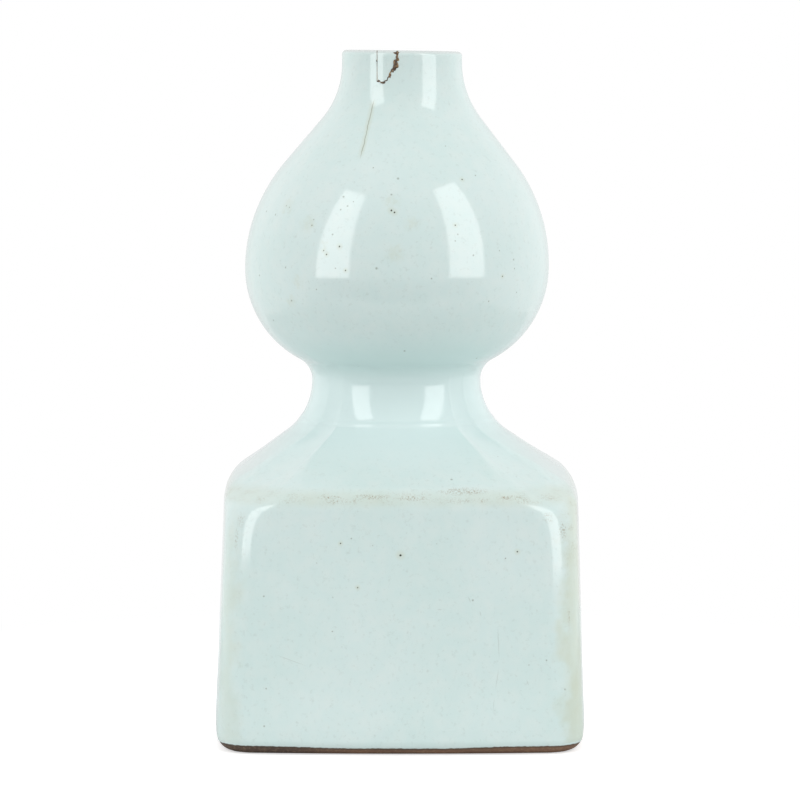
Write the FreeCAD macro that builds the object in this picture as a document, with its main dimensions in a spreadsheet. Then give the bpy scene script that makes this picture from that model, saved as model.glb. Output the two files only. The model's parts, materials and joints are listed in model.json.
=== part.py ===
import FreeCAD, Part
import math
import os
import Sketcher

# A double gourd vase in glazed porcelain: a round bulb and neck over a square body with rounded corners.
# The clay pieces were thrown or pressed one by one and luted together with slip, so each piece here is one
# section of clay, and its seams are where the sections meet.
# Millimetres. +Z is up, the foot stands on z = 0, and the front of the vase faces -Y.

# Sizes set by hand. The neck, bulb, waist and shoulder hang from the rim, each by its drop from the one
# above, and the square body reaches from under the shoulder down to the table.
size = {
    # Whole vase
    "vase_height": 320.0,
    # Neck ring, thrown, with the broken place in its rim
    "neck_radius": 28.2,
    "neck_wall": 4.4,
    "neck_straight": 6.0,
    "bore_length": 15.0,
    # Bulb, thrown in two halves that meet where it is widest
    "bulb_radius": 71.5,
    "bulb_drop": 102.0,
    "bulb_lower_round": 49.0,
    "thrown_wall": 5.0,
    # Waist ring, from the crease under the bulb to the seam above the shoulder
    "crease_round": 11.0,
    "waist_radius": 39.7,
    # Shoulder dome, pressed over a form, from a round top to a square rim
    "shoulder_wall": 6.0,
    "shoulder_drop": 54.3,
    "body_top_half": 83.1,
    "body_corner": 18.0,
    # Four wall slabs and the base under them
    "slab_wall": 7.0,
    "body_spread": 3.7,
    "base_thickness": 6.5,
    # Foot rim and the recess inside it
    "foot_height": 5.0,
    "foot_round": 7.0,
    "foot_width": 16.5,
    "recess_corner": 6.0,
    # Clay coils pressed into the inside seams
    "coil_face": 14.0,
    "coil_top_gap": 6.0,
    "base_coil_width": 5.0,
    "base_coil_lip": 1.0,
    "base_coil_height": 4.5,
    # Rim shard, broken out and glued back in
    "shard_left": 11.5,
    "shard_width": 8.9,
    "shard_depth": 14.6,
    "glue_left": 0.25,
    "glue_below": 0.5,
    "glue_right": 0.9,
    # How far a cut runs past what it cuts
    "overrun": 5.0,
}

# Half of the turn of a body side between its two corners, and of the round top between the same points.
side_angle = math.radians(4.5)
round_angle = math.radians(20.0)
# Half of the turn that a corner coil covers, and the direction of the vase's diagonal.
coil_angle = math.radians(35.0)
diagonal = math.radians(45.0)

# Radii of the hollow arc above and of the full arc below it, as shares of the room that the two have:
# the neck flare and the bulb's upper round, then the waist flare and the ridge of the body.
neck_pair_shares = [0.325, 0.612]
waist_pair_shares = [0.542, 0.26]
# Where the seam lies along the turn of each hollow arc.
neck_seam_shares = [0.86]
waist_seam_shares = [0.725]

# Places along the parts of the dome's profile, from the seam down to the rim.
flare_shares = [0.0, 0.5, 1.0]
slope_shares = [0.5]
ridge_shares = [0.0, 0.35, 0.7, 1.0]

# The broken edge of the shard, from its lowest left point round to the rim: shares of its width and depth.
shard_edge_shares = [(0.0, 0.96), (0.28, 1.0), (0.5, 0.93), (0.66, 0.67), (0.92, 0.43), (1.0, 0.2)]


def round_room(across, drop):
    """Sum of the radii at which a hollow arc and a full arc meet with no straight slope between them."""
    return (across ** 2 + drop ** 2) / (2 * across)


def tangent_angle(upper_centre, upper_round, lower_centre, lower_round):
    """Angle above level of the normal of the straight slope between a hollow arc and the full arc below it."""
    across = upper_centre[0] - lower_centre[0]
    rise = upper_centre[1] - lower_centre[1]
    reach = math.hypot(across, rise)
    return math.atan2(rise, across) - math.acos((upper_round + lower_round) / reach)


def name_point(key, across, height):
    """Keeps a profile point under its name, for the sheet and the sketches."""
    size[key + "_across"] = across
    size[key + "_height"] = height


def name_section(key, half, corner, turn, height):
    """Keeps a square section with bulging sides: eight tangent arcs, four sides and four corners."""
    lean = math.sin(turn) - math.cos(turn)
    side = (half + corner * lean) / (1 + lean)
    size[key + "_side"] = side
    size[key + "_corner"] = corner
    size[key + "_near"] = side * math.sin(turn)
    size[key + "_far"] = half - side + side * math.cos(turn)
    size[key + "_height"] = height


# Neck and bulb profile
lip = size["neck_wall"] / 2
bore_radius = size["neck_radius"] - size["neck_wall"]
bulb_height = size["vase_height"] - size["bulb_drop"]
neck_room = round_room(size["bulb_radius"] - size["neck_radius"], size["bulb_drop"] - size["neck_straight"])
size["neck_flare"] = neck_room * neck_pair_shares[0]
size["bulb_upper_round"] = neck_room * neck_pair_shares[1]
flare_centre = (size["neck_radius"] + size["neck_flare"], size["vase_height"] - size["neck_straight"])
upper_centre = (size["bulb_radius"] - size["bulb_upper_round"], bulb_height)
neck_angle = tangent_angle(flare_centre, size["neck_flare"], upper_centre, size["bulb_upper_round"])
neck_drop = size["neck_flare"] * math.sin(neck_angle * neck_seam_shares[0])
neck_seam_height = flare_centre[1] - neck_drop
size["lip_round"] = lip
size["neck_inner_flare"] = size["neck_flare"] + size["thrown_wall"]
size["bulb_upper_inner"] = size["bulb_upper_round"] - size["thrown_wall"]
name_point("lip_top", size["neck_radius"] - lip, size["vase_height"])
name_point("lip_outside", size["neck_radius"], size["vase_height"] - lip)
name_point("lip_inside", bore_radius, size["vase_height"] - lip)
name_point("bore_end", bore_radius, size["vase_height"] - lip - size["bore_length"])
name_point("neck_flare_start", size["neck_radius"], flare_centre[1])
for skin, bend in (("outer", size["neck_flare"]), ("inner", size["neck_inner_flare"])):
    reach = math.sqrt(bend ** 2 - neck_drop ** 2)
    name_point("neck_seam_" + skin, flare_centre[0] - reach, neck_seam_height)
    name_point("slope_top_" + skin, flare_centre[0] - bend * math.cos(neck_angle),
               flare_centre[1] - bend * math.sin(neck_angle))
for skin, bend in (("outer", size["bulb_upper_round"]), ("inner", size["bulb_upper_inner"])):
    name_point("slope_end_" + skin, upper_centre[0] + bend * math.cos(neck_angle),
               upper_centre[1] + bend * math.sin(neck_angle))
name_point("widest_outer", size["bulb_radius"], bulb_height)
name_point("widest_inner", size["bulb_radius"] - size["thrown_wall"], bulb_height)

# Lower bulb, crease and waist profile
lower_reach = size["bulb_lower_round"] + size["crease_round"]
crease_turn = math.acos(1 - (size["bulb_radius"] - size["waist_radius"]) / lower_reach)
waist_height = bulb_height - lower_reach * math.sin(crease_turn)
waist_room = round_room(size["body_top_half"] - size["waist_radius"], size["shoulder_drop"])
size["waist_flare"] = waist_room * waist_pair_shares[0]
size["ridge_round"] = waist_room * waist_pair_shares[1]
crease_centre = (size["waist_radius"] + size["crease_round"], waist_height)
crease_seam_height = waist_height + size["crease_round"] * math.sin(crease_turn)
crease_rise = crease_seam_height - waist_height
waist_centre = (size["waist_radius"] + size["waist_flare"], waist_height)
size["body_top_height"] = waist_height - size["shoulder_drop"]
ridge_centre = (size["body_top_half"] - size["ridge_round"], size["body_top_height"])
dome_angle = tangent_angle(waist_centre, size["waist_flare"], ridge_centre, size["ridge_round"])
waist_drop = size["waist_flare"] * math.sin(dome_angle * waist_seam_shares[0])
waist_seam_height = waist_height - waist_drop
size["bulb_lower_inner"] = size["bulb_lower_round"] - size["thrown_wall"]
size["crease_inner"] = size["crease_round"] + size["thrown_wall"]
size["waist_inner_flare"] = size["waist_flare"] + size["thrown_wall"]
name_point("crease_seam_outer", crease_centre[0] - size["crease_round"] * math.cos(crease_turn),
           crease_seam_height)
name_point("crease_seam_inner", crease_centre[0] - math.sqrt(size["crease_inner"] ** 2 - crease_rise ** 2),
           crease_seam_height)
name_point("crease_start_inner", crease_centre[0] - size["crease_inner"] * math.cos(crease_turn),
           waist_height + size["crease_inner"] * math.sin(crease_turn))
name_point("waist_outer", size["waist_radius"], waist_height)
name_point("waist_inner", size["waist_radius"] - size["thrown_wall"], waist_height)
for skin, bend in (("outer", size["waist_flare"]), ("inner", size["waist_inner_flare"])):
    name_point("waist_seam_" + skin, waist_centre[0] - math.sqrt(bend ** 2 - waist_drop ** 2),
               waist_seam_height)

# Shoulder dome: one row of sections for the outer skin and one for the inner skin


def dome_profile(wall):
    """Half-widths and heights down the middle of a dome side, at a depth of wall under the outer skin."""
    flare = size["waist_flare"] + wall
    ridge = size["ridge_round"] - wall
    first = math.asin(waist_drop / flare)
    points = []
    for share in flare_shares:
        turn = first + (dome_angle - first) * share
        points.append((waist_centre[0] - flare * math.cos(turn), waist_centre[1] - flare * math.sin(turn)))
    start = points[-1]
    end = (ridge_centre[0] + ridge * math.cos(dome_angle), ridge_centre[1] + ridge * math.sin(dome_angle))
    for share in slope_shares:
        points.append((start[0] + (end[0] - start[0]) * share, start[1] + (end[1] - start[1]) * share))
    for share in ridge_shares:
        turn = dome_angle * (1 - share)
        points.append((ridge_centre[0] + ridge * math.cos(turn), ridge_centre[1] + ridge * math.sin(turn)))
    return points


def name_dome(skin, wall):
    """Names the sections of one skin of the dome and returns their keys from the top down."""
    points = dome_profile(wall)
    top, rim = points[0][0], points[-1][0]
    corner = size["body_corner"] - wall
    keys = []
    for count, (half, height) in enumerate(points):
        share = (rim - half) / (rim - top)
        key = "dome_" + skin + "_" + str(count)
        name_section(key, half, corner + (top - corner) * share,
                     side_angle + (round_angle - side_angle) * share, height)
        keys.append(key)
    return keys


dome_outer_keys = name_dome("outer", 0.0)
dome_inner_keys = name_dome("inner", size["shoulder_wall"])

# Square body: walls, base and foot
size["body_base_half"] = size["body_top_half"] + size["body_spread"]
size["wall_base_height"] = size["foot_height"] + size["base_thickness"]
wall_rise = size["body_top_height"] - size["wall_base_height"]
wall_lean = size["body_spread"] / wall_rise


def wall_half(height):
    """Half-width of the walls' outer skin at a height."""
    return size["body_base_half"] - wall_lean * (height - size["wall_base_height"])


def name_wall_level(level, height):
    """Names the outer and inner skin of the walls at one height, and the mitre points at the corners."""
    for skin, depth in (("outer", 0.0), ("inner", size["slab_wall"])):
        key = "wall_" + level + "_" + skin
        corner = size["body_corner"] - depth
        name_section(key, wall_half(height) - depth, corner, side_angle, height)
        centre = size[key + "_near"] - corner * math.sin(side_angle)
        size[key + "_mitre"] = centre + corner * math.cos(diagonal)


name_wall_level("base", size["wall_base_height"])
name_wall_level("top", size["body_top_height"])
name_section("foot_outline", size["body_base_half"], size["body_corner"], side_angle, 0.0)
name_section("recess_outline", size["body_base_half"] - size["foot_width"], size["recess_corner"],
             side_angle, 0.0)
size["block_cut"] = size["body_base_half"] + size["overrun"]
size["block_cut_height"] = size["foot_height"]

# Inside coils
coil_foot = size["wall_base_height"] + size["base_coil_height"]
coil_top = size["body_top_height"] - size["coil_top_gap"]
inner_corner = size["body_corner"] - size["slab_wall"]
for level, height in (("foot", size["wall_base_height"]), ("head", coil_foot)):
    name_section("ring_" + level + "_outer", wall_half(height) - size["slab_wall"], inner_corner,
                 side_angle, height)
for level, height, width in (("foot", size["wall_base_height"], size["base_coil_width"]),
                             ("head", coil_foot, size["base_coil_lip"])):
    name_section("ring_" + level + "_inner", wall_half(height) - size["slab_wall"] - width,
                 inner_corner - width, side_angle, height)
for level, height in (("foot", coil_foot), ("head", coil_top)):
    key = "coil_" + level
    name_section(key, wall_half(height) - size["slab_wall"], inner_corner, side_angle, height)
    centre = size[key + "_near"] - inner_corner * math.sin(side_angle)
    size[key + "_long"] = centre + inner_corner * math.cos(diagonal - coil_angle)
    size[key + "_short"] = centre + inner_corner * math.sin(diagonal - coil_angle)

# Shard and glue line on the front of the rim
size["shard_over"] = size["vase_height"] + size["overrun"]
size["notch_reach"] = size["neck_radius"] + size["overrun"]
shard_points = []
notch_points = []
for count, (across, down) in enumerate(shard_edge_shares):
    shard = "shard_" + str(count)
    notch = "notch_" + str(count)
    spread = size["glue_right"] * across - size["glue_left"] * (1 - across)
    name_point(shard, size["shard_width"] * across - size["shard_left"],
               size["vase_height"] - size["shard_depth"] * down)
    name_point(notch, size[shard + "_across"] + spread, size[shard + "_height"] - size["glue_below"] * down)
    shard_points.append((shard + "_across", shard + "_height"))
    notch_points.append((notch + "_across", notch + "_height"))

doc = FreeCAD.newDocument("double_gourd_vase")
sheet = doc.addObject("Spreadsheet::Sheet", "Sizes")
for row, (alias, value) in enumerate(size.items(), start=1):
    sheet.set("A" + str(row), alias)
    sheet.set("B" + str(row), repr(float(value)))
    sheet.setAlias("B" + str(row), alias)
doc.recompute()


def number(name):
    """Value of a named size, with a leading minus sign allowed."""
    return -size[name[1:]] if name.startswith("-") else size[name]


def cell(name):
    """The same named size as an expression on the sheet."""
    return "-Sizes." + name[1:] if name.startswith("-") else "Sizes." + name


def origin_plane(body, role):
    """One of the body's own origin planes."""
    return next(item for item in body.Origin.OriginFeatures if item.Role == role)


def new_body(label, turn=0.0):
    """An empty body, turned about the vase's axis by a number of degrees."""
    body = doc.addObject("PartDesign::Body", label)
    body.Label = label
    body.Placement = FreeCAD.Placement(FreeCAD.Vector(0, 0, 0), FreeCAD.Rotation(FreeCAD.Vector(0, 0, 1), turn))
    return body


def arc_between(start, end, bend, turn):
    """Arc of radius bend from start to end, with its centre on the left for turn 1 and on the right for -1."""
    way = end.sub(start)
    middle = start.add(end).multiply(0.5)
    normal = FreeCAD.Vector(-way.y, way.x, 0).normalize()
    centre = middle.add(normal.multiply(turn * math.sqrt(max(bend ** 2 - (way.Length / 2) ** 2, 0.0))))
    first, last = (start, end) if turn > 0 else (end, start)
    circle = Part.Circle(centre, FreeCAD.Vector(0, 0, 1), bend)
    return Part.ArcOfCircle(circle, math.atan2(first.y - centre.y, first.x - centre.x),
                            math.atan2(last.y - centre.y, last.x - centre.x))


def outline(body, label, role, edges, height=None):
    """Closed sketch. An edge is (x name, y name) of its start, then a radius name and a turn for an arc."""
    sketch = body.newObject("Sketcher::SketchObject", label)
    sketch.AttachmentSupport = [(origin_plane(body, role), "")]
    sketch.MapMode = "FlatFace"
    if height:
        sketch.AttachmentOffset = FreeCAD.Placement(FreeCAD.Vector(0, 0, number(height)), FreeCAD.Rotation())
        sketch.setExpression("AttachmentOffset.Base.z", cell(height))
    corners = [FreeCAD.Vector(number(edge[0]), number(edge[1]), 0) for edge in edges]
    ends = []
    for count, edge in enumerate(edges):
        start, end = corners[count], corners[(count + 1) % len(edges)]
        if len(edge) > 2:
            sketch.addGeometry(arc_between(start, end, number(edge[2]), edge[3]))
            ends.append((1, 2) if edge[3] > 0 else (2, 1))
        else:
            sketch.addGeometry(Part.LineSegment(start, end))
            ends.append((1, 2))
    for count in range(len(edges)):
        following = (count + 1) % len(edges)
        sketch.addConstraint(
            Sketcher.Constraint("Coincident", count, ends[count][1], following, ends[following][0]))
    for count, edge in enumerate(edges):
        for kind, name in (("DistanceX", edge[0]), ("DistanceY", edge[1])):
            rule = sketch.addConstraint(Sketcher.Constraint(kind, -1, 1, count, ends[count][0], number(name)))
            sketch.setExpression("Constraints[" + str(rule) + "]", cell(name))
        if len(edge) > 2:
            rule = sketch.addConstraint(Sketcher.Constraint("Radius", count, number(edge[2])))
            sketch.setExpression("Constraints[" + str(rule) + "]", cell(edge[2]))
    return sketch


def section(body, key, raised=True):
    """Sketch of a square section with bulging sides."""
    near, far, side, corner = key + "_near", key + "_far", key + "_side", key + "_corner"
    edges = [("-" + near, "-" + far, side, 1), (near, "-" + far, corner, 1),
             (far, "-" + near, side, 1), (far, near, corner, 1),
             (near, far, side, 1), ("-" + near, far, corner, 1),
             ("-" + far, near, side, 1), ("-" + far, "-" + near, corner, 1)]
    return outline(body, key, "XY_Plane", edges, key + "_height" if raised else None)


def revolve(label, edges):
    """A thrown piece: its profile turned about the vase's axis."""
    body = new_body(label)
    profile = outline(body, label + "_profile", "XZ_Plane", edges)
    turned = body.newObject("PartDesign::Revolution", label + "_turned")
    turned.Profile = profile
    turned.ReferenceAxis = (profile, ["V_Axis"])
    turned.Angle = 360.0
    doc.recompute()
    return body


def loft(body, kind, label, sketches, ruled):
    """An additive or subtractive loft through the sketches."""
    feature = body.newObject("PartDesign::" + kind, label)
    feature.Profile = sketches[0]
    feature.Sections = sketches[1:]
    feature.Ruled = ruled
    doc.recompute()
    return feature


def pocket(body, sketch, label, upward):
    """A cut from the sketch's plane through all above or below it, checked to have removed clay."""
    before = body.Shape.Volume
    feature = body.newObject("PartDesign::Pocket", label)
    feature.Profile = sketch
    feature.Type = "ThroughAll"
    feature.Reversed = upward
    doc.recompute()
    if body.Shape.Volume >= before:
        raise RuntimeError(label + " removed nothing")


def point(key, *arc):
    """An outline edge that starts at a named profile point."""
    return (key + "_across", key + "_height") + arc


# Neck ring as thrown, before the shard broke out
neck_blank = revolve("neck_blank", [
    point("lip_top", "lip_round", -1),
    point("lip_outside"),
    point("neck_flare_start", "neck_flare", 1),
    point("neck_seam_outer"),
    point("neck_seam_inner"),
    point("bore_end"),
    point("lip_inside", "lip_round", -1),
])


def prism(label, points):
    """Block that holds an outline of the broken place, from the vase's axis out through the front of the neck."""
    body = new_body(label)
    edges = [(points[0][0], "shard_over")] + points + [(points[-1][0], "shard_over")]
    profile = outline(body, label + "_profile", "XZ_Plane", edges)
    pad = body.newObject("PartDesign::Pad", label + "_pad")
    pad.Profile = profile
    pad.Length = size["notch_reach"]
    pad.setExpression("Length", cell("notch_reach"))
    doc.recompute()
    if body.Shape.BoundBox.YMin >= 0:
        raise RuntimeError(label + " points away from the front")
    return body


notch_block = prism("notch_block", notch_points)
shard_block = prism("shard_block", shard_points)


def combine(kind, label, first, second):
    """A cut or common of two solids, as an object of its own."""
    feature = doc.addObject("Part::" + kind, label)
    feature.Label = label
    feature.Base = first
    feature.Tool = second
    doc.recompute()
    return feature


neck_ring = combine("Cut", "neck_ring", neck_blank, notch_block)
rim_shard = combine("Common", "rim_shard", neck_blank, shard_block)
broken_out = combine("Common", "broken_out", neck_blank, notch_block)
shard_glue = combine("Cut", "shard_glue", broken_out, shard_block)

# Bulb and waist
bulb_upper_half = revolve("bulb_upper_half", [
    point("neck_seam_outer", "neck_flare", 1),
    point("slope_top_outer"),
    point("slope_end_outer", "bulb_upper_round", -1),
    point("widest_outer"),
    point("widest_inner", "bulb_upper_inner", 1),
    point("slope_end_inner"),
    point("slope_top_inner", "neck_inner_flare", -1),
    point("neck_seam_inner"),
])
bulb_lower_half = revolve("bulb_lower_half", [
    point("widest_outer", "bulb_lower_round", -1),
    point("crease_seam_outer"),
    point("crease_seam_inner", "crease_inner", -1),
    point("crease_start_inner", "bulb_lower_inner", 1),
    point("widest_inner"),
])
waist_ring = revolve("waist_ring", [
    point("crease_seam_outer", "crease_round", 1),
    point("waist_outer", "waist_flare", 1),
    point("waist_seam_outer"),
    point("waist_seam_inner", "waist_inner_flare", -1),
    point("waist_inner", "crease_inner", -1),
    point("crease_seam_inner"),
])

# Shoulder dome: lofted from the round seam to the square rim, hollowed by a second loft
shoulder_dome = new_body("shoulder_dome")
dome_skin = [section(shoulder_dome, key) for key in dome_outer_keys]
loft(shoulder_dome, "AdditiveLoft", "dome_skin", dome_skin, False)
full_volume = shoulder_dome.Shape.Volume
dome_hollow = [section(shoulder_dome, key) for key in dome_inner_keys]
loft(shoulder_dome, "SubtractiveLoft", "dome_hollow", dome_hollow, False)
if shoulder_dome.Shape.Volume >= full_volume:
    raise RuntimeError("the dome is not hollow")


def wall(label, turn):
    """One pressed wall slab, mitred at both corners, for the side that the turn brings it to."""
    body = new_body(label, turn)
    levels = []
    for level in ("base", "top"):
        outer = "wall_" + level + "_outer"
        inner = "wall_" + level + "_inner"
        edges = [("-" + outer + "_mitre", "-" + outer + "_mitre", outer + "_corner", 1),
                 ("-" + outer + "_near", "-" + outer + "_far", outer + "_side", 1),
                 (outer + "_near", "-" + outer + "_far", outer + "_corner", 1),
                 (outer + "_mitre", "-" + outer + "_mitre"),
                 (inner + "_mitre", "-" + inner + "_mitre", inner + "_corner", -1),
                 (inner + "_near", "-" + inner + "_far", inner + "_side", -1),
                 ("-" + inner + "_near", "-" + inner + "_far", inner + "_corner", -1),
                 ("-" + inner + "_mitre", "-" + inner + "_mitre")]
        levels.append(outline(body, label + "_" + level, "XY_Plane", edges, outer + "_height"))
    loft(body, "AdditiveLoft", label + "_slab", levels, True)
    return body


quarter_turn = 90.0
walls = [wall(label, quarter_turn * count)
         for count, label in enumerate(("wall_front", "wall_right", "wall_back", "wall_left"))]


def foot_block(label):
    """The block that the base slab and the foot rim are both parts of, with its lower edge rounded."""
    body = new_body(label)
    pad = body.newObject("PartDesign::Pad", label + "_block")
    pad.Profile = section(body, "foot_outline", False)
    pad.Length = size["wall_base_height"]
    pad.setExpression("Length", cell("wall_base_height"))
    doc.recompute()
    lowest = ["Edge" + str(count) for count, edge in enumerate(pad.Shape.Edges, start=1)
              if edge.BoundBox.ZMax < size["foot_height"]]
    rounding = body.newObject("PartDesign::Fillet", label + "_rounding")
    rounding.Base = (pad, lowest)
    rounding.Radius = size["foot_round"]
    rounding.setExpression("Radius", cell("foot_round"))
    doc.recompute()
    return body


def block_cut(body, label):
    """Square sketch, larger than the foot, at the height where the foot rim meets the base slab."""
    edges = [("-block_cut", "-block_cut"), ("block_cut", "-block_cut"),
             ("block_cut", "block_cut"), ("-block_cut", "block_cut")]
    return outline(body, label, "XY_Plane", edges, "block_cut_height")


base_slab = foot_block("base_slab")
pocket(base_slab, block_cut(base_slab, "base_slab_level"), "base_slab_underside", False)
foot_rim = foot_block("foot_rim")
pocket(foot_rim, block_cut(foot_rim, "foot_rim_level"), "foot_rim_top", True)
pocket(foot_rim, section(foot_rim, "recess_outline", False), "foot_rim_recess", True)

# Coils pressed into the inside seams
base_coil = new_body("base_coil")
for kind, skin in (("AdditiveLoft", "outer"), ("SubtractiveLoft", "inner")):
    loft(base_coil, kind, "base_coil_" + skin,
         [section(base_coil, "ring_" + level + "_" + skin) for level in ("foot", "head")], True)


def corner_coil(label, turn):
    """A coil of clay pressed flat into one inside corner."""
    body = new_body(label, turn)
    levels = []
    for level in ("foot", "head"):
        key = "coil_" + level
        edges = [(key + "_short", "-" + key + "_long", key + "_corner", 1),
                 (key + "_long", "-" + key + "_short", "coil_face", 1)]
        levels.append(outline(body, label + "_" + level, "XY_Plane", edges, key + "_height"))
    loft(body, "AdditiveLoft", label + "_coil", levels, True)
    return body


coils = [corner_coil(label, quarter_turn * count) for count, label in enumerate(
    ("coil_front_right", "coil_back_right", "coil_back_left", "coil_front_left"))]

parts = [neck_ring, rim_shard, shard_glue, bulb_upper_half, bulb_lower_half, waist_ring, shoulder_dome]
parts += walls + [base_slab, foot_rim, base_coil] + coils

doc.recompute()
for item in doc.Objects:
    if "Invalid" in item.State or "Error" in item.State:
        raise RuntimeError(item.Label + " failed: " + str(item.State))
for item in parts:
    if item.Shape.isNull() or not item.Shape.isValid() or len(item.Shape.Solids) != 1:
        raise RuntimeError(item.Label + " is not one valid solid")

os.makedirs("parts", exist_ok=True)
for item in parts:
    item.Shape.exportStep(os.path.join("parts", item.Label + ".step"))
    box = item.Shape.BoundBox
    print("%-18s %9.0f mm3  z %.1f to %.1f" % (item.Label, item.Shape.Volume, box.ZMin, box.ZMax))
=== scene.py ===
"""A double gourd vase in celadon-glazed porcelain, dressed for the render on its fixed frame.

The vase stands on z = 0 with its front to -Y. Sizes are millimetres, as a potter would give them, and become
metres where a mesh is made. Every clay piece is a skin of its own that follows the same thrown and pressed form.
"""

import json
import logging
import math
from dataclasses import dataclass
from enum import Enum
from functools import cached_property
from typing import Any, Sequence, Union

import bmesh
import bpy
import numpy as np
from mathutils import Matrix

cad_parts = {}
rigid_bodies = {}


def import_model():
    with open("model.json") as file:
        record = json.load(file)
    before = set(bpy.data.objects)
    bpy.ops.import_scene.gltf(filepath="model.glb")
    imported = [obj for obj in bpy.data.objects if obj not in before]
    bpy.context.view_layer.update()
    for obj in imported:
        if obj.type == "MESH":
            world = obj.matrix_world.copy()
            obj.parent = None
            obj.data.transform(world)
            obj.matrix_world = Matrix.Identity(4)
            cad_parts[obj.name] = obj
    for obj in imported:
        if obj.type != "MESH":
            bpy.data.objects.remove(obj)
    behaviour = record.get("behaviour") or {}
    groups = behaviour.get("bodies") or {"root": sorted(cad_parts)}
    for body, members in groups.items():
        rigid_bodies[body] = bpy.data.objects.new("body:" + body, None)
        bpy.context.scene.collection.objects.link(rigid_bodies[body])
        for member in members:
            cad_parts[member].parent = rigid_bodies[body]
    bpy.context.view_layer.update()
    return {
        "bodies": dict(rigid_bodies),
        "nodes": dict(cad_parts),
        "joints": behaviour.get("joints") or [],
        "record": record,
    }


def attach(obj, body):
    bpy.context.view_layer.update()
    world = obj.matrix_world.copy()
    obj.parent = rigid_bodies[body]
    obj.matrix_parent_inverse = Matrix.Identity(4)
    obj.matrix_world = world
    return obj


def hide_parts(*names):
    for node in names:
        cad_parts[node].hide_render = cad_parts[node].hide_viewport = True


MM = 0.001
LOG = logging.getLogger("vase")


# Profile lines


@dataclass(frozen=True)
class Arc:
    """An arc of the profile, by its centre (across, height), its radius and its two angles in radians."""

    centre: tuple[float, float]
    radius: float
    start: float
    end: float

    def at(self, share: np.ndarray) -> tuple[np.ndarray, np.ndarray]:
        """Half-widths and heights at the given shares of the way, from 0 at its start to 1 at its end."""
        angle = self.start + (self.end - self.start) * share
        return self.centre[0] + self.radius * np.cos(angle), self.centre[1] + self.radius * np.sin(angle)


@dataclass(frozen=True)
class Line:
    """A straight line of the profile, by its two ends (across, height)."""

    start: tuple[float, float]
    end: tuple[float, float]

    def at(self, share: np.ndarray) -> tuple[np.ndarray, np.ndarray]:
        """Half-widths and heights at the given shares of the way, as for an arc."""
        across = self.start[0] + (self.end[0] - self.start[0]) * share
        return across, self.start[1] + (self.end[1] - self.start[1]) * share


@dataclass(frozen=True)
class Plan:
    """How levels are drawn from above: corner radius and half turn of a side, linear in the half-width.

    Each end is (half-width, corner radius, half turn of a side). A circle's corner radius is its half-width.
    """

    start: tuple[float, float, float]
    end: tuple[float, float, float]

    def at(self, half: np.ndarray) -> tuple[np.ndarray, np.ndarray]:
        """Corner radii and half turns for the given half-widths.

        Args:
            half: half-widths in millimetres.

        Returns:
            Radii in millimetres and turns in radians.
        """
        share = (half - self.start[0]) / (self.end[0] - self.start[0])
        corner = self.start[1] + (self.end[1] - self.start[1]) * share
        return corner, self.start[2] + (self.end[2] - self.start[2]) * share


@dataclass(frozen=True)
class Stretch:
    """A stretch of a piece's closed profile: its line, its plan and into how many rows it is divided."""

    line: Union[Arc, Line]
    plan: Plan
    rows: int = 1


@dataclass(frozen=True)
class Columns:
    """The columns that a skin is divided into, a quarter at a time, from mid corner to mid corner."""

    side_steps: int = 48
    corner_steps: int = 16
    quarters: tuple[int, ...] = (0, 1, 2, 3)

    @property
    def closed(self) -> bool:
        """Whether the columns go all the way round."""
        return len(self.quarters) == 4

    @cached_property
    def spread(self) -> tuple[np.ndarray, np.ndarray, np.ndarray, np.ndarray]:
        """Each column's share of the side's half turn, its share of an eighth turn, its side and its quarter.

        Returns:
            A value for each column. The side is -1 or 1 in a corner and 0 on the flat.
        """
        ramp = np.arange(self.corner_steps) / self.corner_steps
        side = np.linspace(-1.0, 1.0, self.side_steps + 1)
        of_turn = np.concatenate([-ramp, side, (1 - ramp)[1:], [0.0]])
        of_eighth = np.concatenate([ramp - 1, np.zeros(len(side)), ramp[1:], [1.0]])
        hand = np.concatenate([-np.ones(len(ramp)), np.zeros(len(side)), np.ones(len(ramp))])
        keep = slice(0, -1) if self.closed else slice(0, None)
        parts = [np.tile(item[keep], len(self.quarters)) for item in (of_turn, of_eighth, hand)]
        quarter = np.repeat(np.array(self.quarters), len(of_turn[keep]))
        return parts[0], parts[1], parts[2], quarter

    def level(self, half: np.ndarray, plan: Plan) -> tuple[np.ndarray, np.ndarray]:
        """Points and outward directions round levels of the vase.

        Args:
            half: half-widths of the levels.
            plan: how the levels are drawn.

        Returns:
            Points and unit directions, both rows x columns x 2.
        """
        corner, turn = (item[:, None] for item in plan.at(half))
        half = half[:, None]
        of_turn, of_eighth, hand, quarter = self.spread
        lean = np.sin(turn) - np.cos(turn)
        side = (half + corner * lean) / (1 + lean)
        middle = (side - corner) * np.sin(turn)
        angle = turn * of_turn + math.pi / 4 * of_eighth
        flat = hand == 0
        along = np.where(flat, side * np.sin(angle), hand * middle + corner * np.sin(angle))
        out = np.where(flat, half - side + side * np.cos(angle), middle + corner * np.cos(angle))
        return self._turned(along, out, quarter), self._turned(np.sin(angle), np.cos(angle), quarter)

    @staticmethod
    def _turned(along: np.ndarray, out: np.ndarray, quarter: np.ndarray) -> np.ndarray:
        """Turns (along the side, out from it) of the front quarter to each column's own quarter.

        Args:
            along: places along the front side.
            out: places out from the axis.
            quarter: quarter of each column.

        Returns:
            Places across and in depth.
        """
        angle = quarter * math.pi / 2
        across = along * np.cos(angle) + out * np.sin(angle)
        return np.stack([across, along * np.sin(angle) - out * np.cos(angle)], axis=-1)


# The vase's form


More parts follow.
